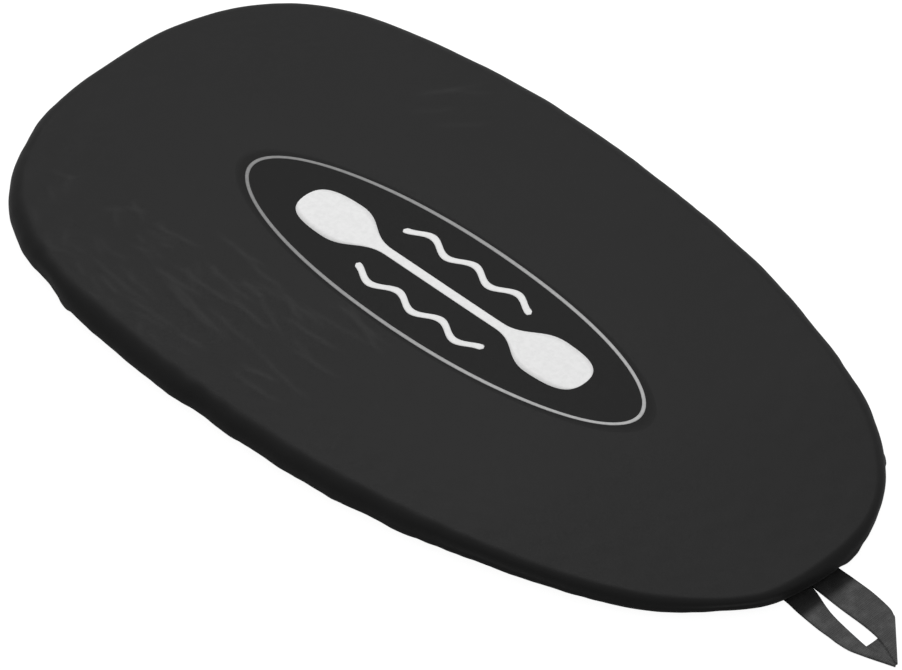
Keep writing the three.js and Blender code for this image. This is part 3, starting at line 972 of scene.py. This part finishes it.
def stitches(name, centres, directions, normals, length, radius):
    """Short lengths of thread that dip into the cloth at both ends, in one mesh."""
    half = [(1, -0.9, 0.55), (0.72, 0.05, 0.95), (0.3, 0.45, 1.0)]
    profile = [(-along, lift, size) for along, lift, size in half] + half[::-1]
    sides = 6
    vertices, faces, cloth = [], [], []
    for centre, direction, normal in zip(centres, directions, normals):
        direction = np.asarray(direction, float) / np.linalg.norm(direction)
        normal = np.asarray(normal, float)
        across = np.cross(direction, normal)
        first = len(vertices)
        for along, lift, size in profile:
            middle = centre + direction * along * length / 2 + normal * lift * radius
            for k in range(sides):
                a = 2 * math.pi * k / sides
                vertices.append(middle + (across * math.cos(a) + normal * math.sin(a)) * radius * size)
                cloth.append((along * length / 2, k * radius))
        faces += grid_faces(len(profile), sides, rings=True, first=first)
        faces.append(tuple(range(first, first + sides)))
        last = first + (len(profile) - 1) * sides
        faces.append(tuple(range(last + sides - 1, last - 1, -1)))
    piece = link(name, vertices, faces)
    outward(piece)
    set_uv(piece, cloth)
    return piece


def along_rim(distance):
    """Rows of the outline's tables at these distances: edge, way inwards, tangent, push of the hem."""
    table = closed(np.column_stack([EDGE, INWARD, TANGENT, HEM_PUSH]))
    rows = columns_at(distance % PERIMETER, np.append(ALONG, PERIMETER), table)
    return rows[:, :2], rows[:, 2:4], rows[:, 4:6], rows[:, 6]


def hem_stitches(name, node, at, inset, side, across, length, radius):
    """A row of stitches at these distances along the rim, on the hem's upper (1) or lower (-1) face.

    They lie along the rim, or across it.
    """
    edge, inward, tangent, push = along_rim(at)
    z = HEM_Z + side * (LIP_HALF_GAP + CASING_CLOTH / 2 + 0.1 * MM) - push
    centres = np.column_stack([edge + inward * inset, z])
    directions = np.column_stack([inward if across else tangent, np.zeros(len(at))])
    normals = np.tile([0, 0, float(side)], (len(at), 1))
    piece = stitches(name, centres, directions, normals, length, radius)
    return finish_piece(piece, "thread", "cover", [node])


def hem_seam(name, node, side):
    pitch = 3.6 * MM
    at = np.arange(STERN_GAP + 4 * MM, PERIMETER - STERN_GAP - 4 * MM, pitch)
    return hem_stitches(name, node, at, SEAM_INSET, side, False, pitch * 0.86, 0.34 * MM)


def casing_bartack(name, node, side):
    """Close stitches across the casing's end."""
    at = STERN_GAP + 3 * MM + np.arange(8) * 0.55 * MM
    if side < 0:
        at = PERIMETER - at
    inset = (LIP_INSET + SEAM_INSET + LIP_WIDTH) / 2
    return hem_stitches(name, node, at, inset, 1, True, 4 * MM, 0.3 * MM)


BEND_RADIUS = 9 * MM
CORD_SPLIT_X = HINGES["tail_swing"].x - 6 * MM


def cord_path():
    """From the port tail, round the hem, to the starboard tail."""
    hem_x = PANEL_LOW.x + CORD_INSET
    port = [(CORD_SPLIT_X, TAIL_Y, TAIL_Z)]
    for a in np.radians(np.linspace(90, 0, 10)):
        climb = math.sin(a) ** 2
        x = hem_x + BEND_RADIUS * (1 - math.cos(a))
        y = TAIL_Y + BEND_RADIUS * (1 - math.sin(a))
        port.append((x, y, HEM_Z + (TAIL_Z - HEM_Z) * climb))
    stations = in_casing(-5 * MM)[::2]
    hem = np.column_stack([EDGE[stations] + INWARD[stations] * CORD_INSET, np.full(len(stations), HEM_Z)])
    starboard = [(x, -y, z) for x, y, z in reversed(port)]
    return np.vstack([np.array(port), hem, np.array(starboard)])


def shock_cord():
    piece = tube("elastic_cord", cord_path(), CORD_RADIUS, CORD_SIDES)
    return finish_piece(piece, "cord", "cover", ["shock_cord"])


def cord_tail(name, node, side):
    end = CAP_LOW.x + 9.5 * MM
    count = 70
    xs = np.linspace(CORD_SPLIT_X, end, count)
    centres = np.column_stack([xs, np.full(count, side * TAIL_Y), np.full(count, TAIL_Z)])
    piece = tube(name, centres, CORD_RADIUS, CORD_SIDES)
    finish_piece(piece, "cord", replaces=[node])
    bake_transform(piece)


hem_casing()
hem_seam("hem_needle_stitches", "hem_needle_thread", 1)
hem_seam("hem_bobbin_stitches", "hem_bobbin_thread", -1)
casing_bartack("casing_bartack_stitches_port", "casing_bartack_port", 1)
casing_bartack("casing_bartack_stitches_starboard", "casing_bartack_starboard", -1)
shock_cord()
cord_tail("tail_cord_port", "cord_tail_port", 1)
cord_tail("tail_cord_starboard", "cord_tail_starboard", -1)


# ---------- Cord lock and end cap ----------

LOCK_X = (BARREL_LOW.x + BARREL_HIGH.x) / 2
BARREL_RADIUS = (BARREL_HIGH.x - BARREL_LOW.x) / 2
BORE_RADIUS = 4.7 * MM
BORE_END_Y = BARREL_HIGH.y - 1.5 * MM
PASSAGE_HALF_Y = 5.9 * MM
PASSAGE_HALF_Z = 2.9 * MM
MOULDED_EDGE = 0.25 * MM
PRESS = next(j for j in frame["joints"] if j["name"] == "button_press")["range_m"][1]


def passage(y0, y1):
    """A cutter for the slot that the two tails run through."""
    reach = 2 * BARREL_RADIUS
    return block(
        (LOCK_X - reach, y0, TAIL_Z - PASSAGE_HALF_Z),
        (LOCK_X + reach, y1, TAIL_Z + PASSAGE_HALF_Z),
    )


def lock_barrel():
    r = BARREL_RADIUS
    length = BARREL_HIGH.y - BARREL_LOW.y
    corners = [(0, 0), (r - 0.5 * MM, 0), (r, 1.2 * MM)]
    groove = r - 0.45 * MM
    for k in range(4):
        at = length - (9.5 - 2 * k) * MM
        corners += [(r, at), (groove, at + 0.5 * MM), (groove, at + 1.0 * MM), (r, at + 1.5 * MM)]
    corners += [(r - 2.4 * MM, length), (0, length)]
    origin = (LOCK_X, BARREL_LOW.y, TAIL_Z)
    body = lathe("lock_barrel", rounded(corners, 0.6 * MM), origin, (0, 1, 0))
    depth = BORE_END_Y - BARREL_LOW.y
    mouth = [(0, -MM), (BORE_RADIUS + 0.4 * MM, -MM), (BORE_RADIUS, 0.5 * MM)]
    blind_end = [(BORE_RADIUS, depth), (0, depth)]
    bore = lathe("bore", mouth + blind_end, origin, (0, 1, 0))
    carve(body, bore, passage(-PASSAGE_HALF_Y, PASSAGE_HALF_Y))
    soften(body, MOULDED_EDGE)
    return finish_piece(body, "lock_plastic", "lock", ["cord_lock_barrel"])


def lock_plunger():
    button = (PLUNGER_HIGH.x - PLUNGER_LOW.x) / 2
    stem = 4.3 * MM
    length = PLUNGER_HIGH.y - PLUNGER_LOW.y
    corners = [(0, 0.7 * MM), (button - 2.6 * MM, 0.5 * MM), (button - 1.5 * MM, 0), (button, 1.4 * MM)]
    corners += [(button, 4 * MM), (stem, 4 * MM), (stem, length - 0.5 * MM)]
    corners += [(stem - 0.5 * MM, length), (0, length)]
    body = lathe("lock_button", rounded(corners, 0.5 * MM), (LOCK_X, PLUNGER_LOW.y, TAIL_Z), (0, 1, 0))
    carve(body, passage(-PASSAGE_HALF_Y - PRESS, PASSAGE_HALF_Y))
    soften(body, MOULDED_EDGE)
    return finish_piece(body, "lock_plastic", "plunger", ["cord_lock_plunger"])


def lock_spring():
    """A coiled wire from the button's inner end to the blind end of the bore."""
    wire, radius, turns = 0.45 * MM, 3.1 * MM, 4
    low, high = PLUNGER_HIGH.y + wire + 0.1 * MM, BORE_END_Y - wire - 0.1 * MM
    t = np.linspace(0, 1, 160)
    angle = 2 * math.pi * turns * t
    y = low + (high - low) * t
    centres = np.column_stack([LOCK_X + radius * np.cos(angle), y, TAIL_Z + radius * np.sin(angle)])
    piece = tube("lock_spring_wire", centres, wire, 10)
    finish_piece(piece, "spring_steel", "lock", ["cord_lock_spring"])
    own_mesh(piece)
    return piece


def end_cap():
    r = (CAP_HIGH.z - CAP_LOW.z) / 2
    length = CAP_HIGH.x - CAP_LOW.x
    waist = r - 0.5 * MM
    corners = [(0, 0), (r - 0.7 * MM, 0), (r, 1.2 * MM), (r, 3.2 * MM), (waist, 3.8 * MM), (waist, 4.6 * MM)]
    corners += [(r, 5.2 * MM), (r, length / 2)]
    corners += [(r - 1 * MM, length - 4 * MM), (r - 3 * MM, length), (0, length)]
    body = lathe("tail_end_cap", rounded(corners, 1.2 * MM), (CAP_LOW.x, 0, TAIL_Z), (1, 0, 0))
    ratio = (CAP_HIGH.y - CAP_LOW.y) / (CAP_HIGH.z - CAP_LOW.z)
    for vertex in body.data.vertices:
        vertex.co.y *= ratio
    low = (CAP_LOW.x - MM, -6.2 * MM, TAIL_Z - PASSAGE_HALF_Z)
    high = (CAP_LOW.x + 10 * MM, 6.2 * MM, TAIL_Z + PASSAGE_HALF_Z)
    carve(body, block(low, high))
    soften(body, MOULDED_EDGE)
    return finish_piece(body, "lock_plastic", "tails", ["cord_end_cap"])


lock_barrel()
lock_plunger()
lock_spring()
end_cap()


# ---------- Webbing grab loop ----------

WEBBING = 1.3 * MM
LOOP_Z = HINGES["loop_fold"].z
LOOP_X = HINGES["loop_fold"].x
LOOP_Y = HINGES["loop_fold"].y
CROSSPIECE_Z = LOOP_LOW.z + 0.1 * MM
FOLD_RADIUS = 0.72 * MM
STRAP_DIVISIONS = 16


def curve_through(points, count):
    """Evenly spaced points on a smooth curve through the given ones."""
    points = np.asarray(points, float)
    padded = np.vstack([2 * points[0] - points[1], points, 2 * points[-1] - points[-2]])
    fine = []
    for k in range(len(points) - 1):
        p0, p1, p2, p3 = padded[k : k + 4]
        bend = 2 * p0 - 5 * p1 + 4 * p2 - p3
        twist = 3 * p1 - p0 - 3 * p2 + p3
        for t in np.linspace(0, 1, 24, endpoint=False):
            fine.append(0.5 * (2 * p1 + (p2 - p0) * t + bend * t**2 + twist * t**3))
    fine = np.array([*fine, points[-1]])
    travelled = distances(fine)
    return columns_at(np.linspace(0, 1, count) * travelled[-1], travelled, fine)


# The strap's edges in millimetres from the loop's hinge: x, y, z. It leaves the cover on the port side, folds
# under itself at each corner of the tip, and comes back on the starboard side.
HIGH = 0.85
LOW = (CROSSPIECE_Z - LOOP_Z) / MM
PORT_KNEE = (59.2, 22.6, HIGH)
PORT_CORNER = (64.3, 17.5, HIGH)
PORT_TIP = (97.6, -16.3, HIGH)
STARBOARD_KNEE = (56.2, -33.6, HIGH)
STARBOARD_CORNER = (66, -29.6, HIGH)
STARBOARD_TIP = (98.7, -18.2, HIGH)
PORT_OUTER = [
    (-26, 32.3, 0),
    (-8, 31.4, 0),
    (6, 31.1, 0.2),
    (23.7, 29.8, 0.7),
    (39.1, 28.2, HIGH),
    (49.6, 26.6, HIGH),
    (55, 25, HIGH),
    PORT_KNEE,
]
PORT_INNER = [(-26, 0.4, 0), (-9, 0.4, 0), (28, -2.6, 0.6), (67.5, -5.6, HIGH), PORT_TIP]
CROSS_OUTER = [(*PORT_CORNER[:2], LOW), (67, -6, LOW), (*STARBOARD_CORNER[:2], LOW)]
CROSS_INNER = [(*PORT_TIP[:2], LOW), (*STARBOARD_TIP[:2], LOW)]
STARBOARD_OUTER = [
    STARBOARD_KNEE,
    (47, -33.8, 1.1),
    (37.9, -33.1, 1.2),
    (21.4, -32.5, 1.3),
    (0.3, -29.8, 0.6),
    (-14.3, -27.2, 0),
    (-26, -26.6, 0),
]
STARBOARD_INNER = [STARBOARD_TIP, (67.5, -19.8, HIGH), (23.3, -12.2, 0.6), (-9, -0.6, 0), (-26, -0.6, 0)]
LEG_ROWS = 44
FOLD_ROWS = 8
CROSS_ROWS = 22
KNEE_BULGE = 0.6


def on_loop(points):
    return [(LOOP_X + x * MM, LOOP_Y + y * MM, LOOP_Z + z * MM) for x, y, z in points]


def folded_corner(knee, corner, tip, way):
    """Rows of both edges round one fold, from the leg down to the crosspiece. way is the way it bulges."""
    knee, corner, tip = np.array(on_loop([knee, corner, tip]))
    outer, inner = [], []
    for a in np.linspace(0, math.pi, FOLD_ROWS + 2)[1:-1]:
        share = (1 - math.cos(a)) / 2
        bulge = np.array([*way, 0]) * math.sin(a) * FOLD_RADIUS
        drop = np.array([0, 0, -share * (HIGH - LOW) * MM])
        outer.append(knee + (corner - knee) * share + KNEE_BULGE * bulge + drop)
        inner.append(tip + bulge + drop)
    return outer, inner


def loop_edges():
    """The strap's two edges in matching rows, from its port end round the tip to its starboard end."""
    port_fold = folded_corner(PORT_KNEE, PORT_CORNER, PORT_TIP, (0.73, 0.68))
    starboard_fold = folded_corner(STARBOARD_KNEE, STARBOARD_CORNER, STARBOARD_TIP, (0.32, -0.95))
    lines = [
        (PORT_OUTER, CROSS_OUTER, STARBOARD_OUTER),
        (PORT_INNER, CROSS_INNER, STARBOARD_INNER),
    ]
    edges = []
    for k, (port, cross, starboard) in enumerate(lines):
        parts = [
            curve_through(on_loop(port), LEG_ROWS),
            port_fold[k],
            curve_through(on_loop(cross), CROSS_ROWS),
            starboard_fold[k][::-1],
            curve_through(on_loop(starboard), LEG_ROWS),
        ]
        edges.append(np.vstack(parts))
    return edges


def loop_strap():
    outer, inner = loop_edges()
    rows = len(outer)
    share = np.linspace(0, 1, STRAP_DIVISIONS + 1)
    points = outer[:, None] * (1 - share)[None, :, None] + inner[:, None] * share[None, :, None]
    x = points[..., 0]
    away = smoothstep(LOOP_X + 4 * MM, LOOP_X + 30 * MM, x) * smoothstep(100 * MM, 60 * MM, x - LOOP_X)
    ripple = 0.35 * MM * np.sin(x / (9 * MM) + 60 * points[..., 1])
    points[..., 2] += away * (ripple + 0.3 * MM)
    places = points.reshape(-1, 3)
    piece = link("grab_loop_webbing", places, grid_faces(rows, STRAP_DIVISIONS + 1))
    leg = LEG_ROWS + FOLD_ROWS
    on_crosspiece = np.repeat((np.arange(rows) >= leg) & (np.arange(rows) < rows - leg), STRAP_DIVISIONS + 1)
    set_uv(piece, np.where(on_crosspiece[:, None], places[:, [1, 0]], places[:, [0, 1]]))
    at_edge = (share == 0) | (share == 1)
    set_share(piece, "selvage", at_edge * smoothstep(90 * MM, 60 * MM, x - LOOP_X))
    thicken(piece, WEBBING, 0)
    soften(piece, 0.3 * MM, 60)
    nodes = ["grab_loop", "grab_loop_end_port", "grab_loop_end_starboard"]
    finish_piece(piece, "webbing", replaces=nodes)
    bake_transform(piece)


def loop_patch():
    """A doubled piece of tape between the webbing and the panel."""
    low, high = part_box("loop_patch")
    ys = np.linspace(low.y, high.y, 40)
    bow = EDGE[EDGE[:, 0] > WIDEST_X + 0.9 * REACH[0]]
    bow = bow[np.argsort(bow[:, 1])]
    rim = np.interp(ys, bow[:, 1], bow[:, 0])
    points = []
    for share in shares(12):
        xs = rim - LOWER_ROLL - (0.5 + 10 * share) * MM
        z = (low.z + high.z) / 2 + 0.12 * MM * np.sin(ys / (3 * MM) + share * 5)
        points.append(np.column_stack([xs, ys, z]))
    piece = sheet("loop_backing_tape", points, np.vstack(points)[:, [1, 0]], 0.5 * MM)
    return finish_piece(piece, "binding", "cover", ["loop_patch"])


def loop_bartack(name, node):
    """A dense row of slanted stitches across one leg."""
    low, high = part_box(node)
    middle = (low + high) / 2
    count = 30
    ys = np.linspace(low.y + 0.5 * MM, high.y - 0.5 * MM, count)
    stagger, slant = 0.15 * MM, 0.22
    ways = [1 if k % 2 else -1 for k in range(count)]
    top = high.z - 0.2 * MM
    centres = [(middle.x + way * stagger, y, top) for way, y in zip(ways, ys)]
    directions = [(1, way * slant, 0) for way in ways]
    piece = stitches(name, np.array(centres), directions, [(0, 0, 1)] * count, 2.2 * MM, 0.3 * MM)
    return finish_piece(piece, "thread", "cover", [node])


loop_strap()
loop_patch()
loop_bartack("loop_bartack_stitches_port", "loop_bartack_port")
loop_bartack("loop_bartack_stitches_starboard", "loop_bartack_starboard")


# ---------- Care label ----------


def care_label():
    """A blank tape held in the hem by one edge, curling a little towards its free edge."""
    hinge = HINGES["label_flap"]
    columns = 30
    root = LABEL_HIGH.y + 2.6 * MM
    xs = np.linspace(LABEL_LOW.x, LABEL_HIGH.x, columns)
    across = (xs - LABEL_LOW.x) / (LABEL_HIGH.x - LABEL_LOW.x)
    points = []
    for share in shares(20):
        y = root + (LABEL_LOW.y - root) * share
        loose = smoothstep(0.15, 1, share)
        sag = -1.3 * MM * loose + 0.5 * MM * loose * np.sin(across * 4.2)
        points.append(np.column_stack([xs, np.full(columns, y), hinge.z + sag]))
    piece = sheet("care_label_tape", points, np.vstack(points)[:, :2], 0.45 * MM)
    finish_piece(piece, "label", replaces=["care_label"])
    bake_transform(piece)


care_label()


# ---------- Printed emblem ----------

PRINT_X = (OVAL_LOW.x + OVAL_HIGH.x) / 2
PRINT_Y = (OVAL_LOW.y + OVAL_HIGH.y) / 2
OVAL = ((OVAL_HIGH.x - OVAL_LOW.x) / 2, (OVAL_HIGH.y - OVAL_LOW.y) / 2)
OVAL_LINE = 3.6 * MM
OVAL_SEGMENTS = 260
PRINT = 0.1 * MM
# How far each layer of ink is over the cloth: the ground, and what is printed on it.
PRINT_LIFT = (0.14 * MM, 0.3 * MM)
# The print lies a little askew, a little off its place and a little smaller than it.
PRINT_TURN = math.radians(0.42)
PRINT_SHIFT = np.array([-0.1, -0.6]) * MM
PRINT_SIZE = 0.996


def printed(name, plan, layer, slot, node, rings=False):
    """A film of ink on the panel: plan is rows of points on the flat, bent to the panel's relief.

    The film is over the cloth inside the oval, and sinks into it past the oval's line. With rings, each row
    closes on itself.
    """
    faces = grid_faces(len(plan), len(plan[0]), rings=rings)
    plan = np.vstack(plan)
    past = np.hypot(plan[:, 0] / OVAL[0], plan[:, 1] / OVAL[1]) - 1
    # Past the oval's line the film carries only the painted shade halo, and it sinks into the cloth towards
    # the halo's edge.
    sunk = 0.3 * MM * smoothstep(0.5, 1, past / (HALO_SHARE - 1))
    c, s = math.cos(PRINT_TURN), math.sin(PRINT_TURN)
    x, y = (PRINT_SIZE * plan @ [[c, s], [-s, c]] + [PRINT_X, PRINT_Y] + PRINT_SHIFT).T
    z = top_height(x, y) + PRINT_LIFT[layer] - sunk
    piece = link(name, np.column_stack([x, y, z]), faces)
    face_up(piece)
    set_uv(piece, plan + [PRINT_X, PRINT_Y])
    thicken(piece, PRINT, -1)
    return finish_piece(piece, slot, "cover", [node])


def ovals(halves):
    """A ring of points round each of these ovals, from its half length and half width."""
    angle = np.linspace(0, 2 * math.pi, OVAL_SEGMENTS, endpoint=False)
    return [np.column_stack([a * np.cos(angle), b * np.sin(angle)]) for a, b in halves]


def oval_ground():
    """The oval's ground, from past its rim, where it carries the painted shade halo, to a short spine along
    its middle.
    """
    rim = (OVAL[0] * HALO_SHARE, OVAL[1] * HALO_SHARE)
    spine = (OVAL[0] - OVAL[1], 0.05 * MM)
    plan = ovals([r * (1 - t) + s * t for r, s in zip(rim, spine)] for t in shares(60))
    return printed("emblem_ground_and_shade_halo", plan, 0, "ink_dark", "print_ground", rings=True)


def oval_ring():
    plan = ovals([half - OVAL_LINE * t for half in OVAL] for t in shares(4))
    return printed("emblem_ring", plan, 1, "ink_grey", "print_ring", rings=True)


def bezier(p0, p1, p2, p3, count):
    t = np.linspace(0, 1, count)[:, None]
    p0, p1, p2, p3 = (np.array(p, float) for p in (p0, p1, p2, p3))
    return (1 - t) ** 3 * p0 + 3 * (1 - t) ** 2 * t * p1 + 3 * (1 - t) * t**2 * p2 + t**3 * p3


def paddle():
    """Two blades on a shaft: the half-width along its length, swept from one tip to the other."""
    low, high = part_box("print_paddle")
    tip = (high.x - low.x) / 2
    wide = (high.y - low.y) / 2
    shaft = 4.5 * MM
    root = tip - 100 * MM
    full = root + 55 * MM
    straight = [(x, shaft) for x in np.linspace(0, root, 12)[:-1]]
    swell = bezier((root, shaft), (root + 25 * MM, shaft), (root + 30 * MM, wide), (full, wide), 16)
    end = bezier((full, wide), (tip - 12 * MM, wide), (tip, wide - 6 * MM), (tip, 0.05 * MM), 18)
    half = np.vstack([straight, swell, end[1:]])
    stations = np.vstack([half[::-1] * [-1, 1], half[1:]])
    plan = [np.array([(x, w * t) for t in np.linspace(-1, 1, 9)]) for x, w in stations]
    return printed("emblem_paddle", plan, 1, "ink_white", "print_paddle")


def water_line(name, node, side):
    """A wavy line beside the paddle, with round ends."""
    low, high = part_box(node)
    length = high.x - low.x
    middle = (low.y + high.y) / 2 - PRINT_Y
    pitch, height, line = 50 * MM, 5 * MM, 7 * MM
    plan = []
    for t in shares(90):
        x = (t - 0.5) * length
        y = middle + side * height * math.cos(2 * math.pi * x / pitch)
        from_end = min(t, 1 - t) * length / (line / 2)
        width = line / 2 * math.sqrt(max(1e-4, 1 - max(0.0, 1 - from_end) ** 2))
        plan.append(np.array([(x, y + width * across) for across in np.linspace(-1, 1, 5)]))
    return printed(name, plan, 1, "ink_white", node)


oval_ground()
oval_ring()
paddle()
water_line("emblem_wave_port", "print_wave_port", 1)
water_line("emblem_wave_starboard", "print_wave_starboard", -1)


# ---------- Floor, light and camera ----------

FLOOR_HALF = 60.0
FLOOR_GAP = 0.6 * MM
FLOOR_GLOW = 0.93
FLOOR_PALE = 0.2
FLOOR_BOUNCE = 0.5
# How bright the sky is from just under the horizon up to near overhead.
SKY_RISE = (-0.05, 0.8)
SKY_LOW = 0.55
SKY_HIGH = 0.85
SKY_SEEN = 0.95
# Brighter stretches of the studio's wall: the way to the middle, where it has faded out, and how bright.
WALL_GLOWS = [((-0.76, 0.65, 0.0), 0.45, 0.3), ((0.97, -0.25, 0.0), 0.6, 0.35)]
GLOW_FULL = 0.9
CAMERA_AZIMUTH = math.radians(-45.6)
CAMERA_ELEVATION = math.radians(44.03)
CAMERA_DISTANCE = 9.12
CAMERA_TARGET = Vector((0.0124, -0.0241, -0.013))
CAMERA_LENS = 432.6


def floor():
    """A pale floor. The camera sees it nearly white, and it lights the object's underside only weakly."""
    signs = [(-1, -1), (1, -1), (1, 1), (-1, 1)]
    corners = [(x * FLOOR_HALF, y * FLOOR_HALF, FLOOR_Z - FLOOR_GAP) for x, y in signs]
    plane = link("floor", corners, [(0, 1, 2, 3)], smooth=False)
    n = material("floor")
    glow = n.add("ShaderNodeEmission", Color=grey(1.0), Strength=FLOOR_GLOW).outputs[0]
    pale = n.add("ShaderNodeBsdfDiffuse", Color=grey(FLOOR_PALE)).outputs[0]
    both = n.add("ShaderNodeAddShader", glow, pale).outputs[0]
    bounce = n.add("ShaderNodeBsdfDiffuse", Color=grey(FLOOR_BOUNCE)).outputs[0]
    n.by_ray("ShaderNodeOutputMaterial", both, bounce)
    plane.data.materials.append(n.owner)


def sky():
    """Even studio light, brighter overhead and on two stretches of wall. The camera sees plain white."""
    n = Nodes(bpy.data.worlds.new("studio"))
    bpy.context.scene.world = n.owner
    way = n.add("ShaderNodeTexCoord").outputs["Generated"]
    total = n.ramp(n.split(way)[2], *SKY_RISE, SKY_LOW, SKY_HIGH)
    for middle, faded, strength in WALL_GLOWS:
        facing = n.add("ShaderNodeVectorMath", way, middle, operation="DOT_PRODUCT").outputs["Value"]
        total = n.math("ADD", total, n.ramp(facing, faded, GLOW_FULL, 0.0, strength))
    glow = n.add("ShaderNodeBackground", Strength=total).outputs[0]
    plain = n.add("ShaderNodeBackground", Color=grey(1.0), Strength=SKY_SEEN).outputs[0]
    n.by_ray("ShaderNodeOutputWorld", plain, glow)


def lamp(name, place, aim, size, power):
    data = bpy.data.lights.new(name, "AREA")
    data.shape = "DISK"
    data.size = size
    data.energy = power
    light = bpy.data.objects.new(name, data)
    light.location = place
    light.rotation_euler = (Vector(aim) - Vector(place)).to_track_quat("-Z", "Y").to_euler()
    bpy.context.scene.collection.objects.link(light)


def camera():
    level = math.cos(CAMERA_ELEVATION)
    across = (math.cos(CAMERA_AZIMUTH) * level, math.sin(CAMERA_AZIMUTH) * level)
    back = Vector((*across, math.sin(CAMERA_ELEVATION)))
    data = bpy.data.cameras.new("camera")
    data.lens = CAMERA_LENS
    data.sensor_width = 36
    data.clip_end = 50
    eye = bpy.data.objects.new("camera", data)
    eye.location = CAMERA_TARGET + back * CAMERA_DISTANCE
    eye.rotation_euler = back.to_track_quat("Z", "Y").to_euler()
    bpy.context.scene.collection.objects.link(eye)
    bpy.context.scene.camera = eye


floor()
sky()
lamp("key", (-1.3, 1.1, 2.6), (0, 0, 0), 1.0, 29.5)
camera()
bpy.context.scene.view_settings.view_transform = "Standard"
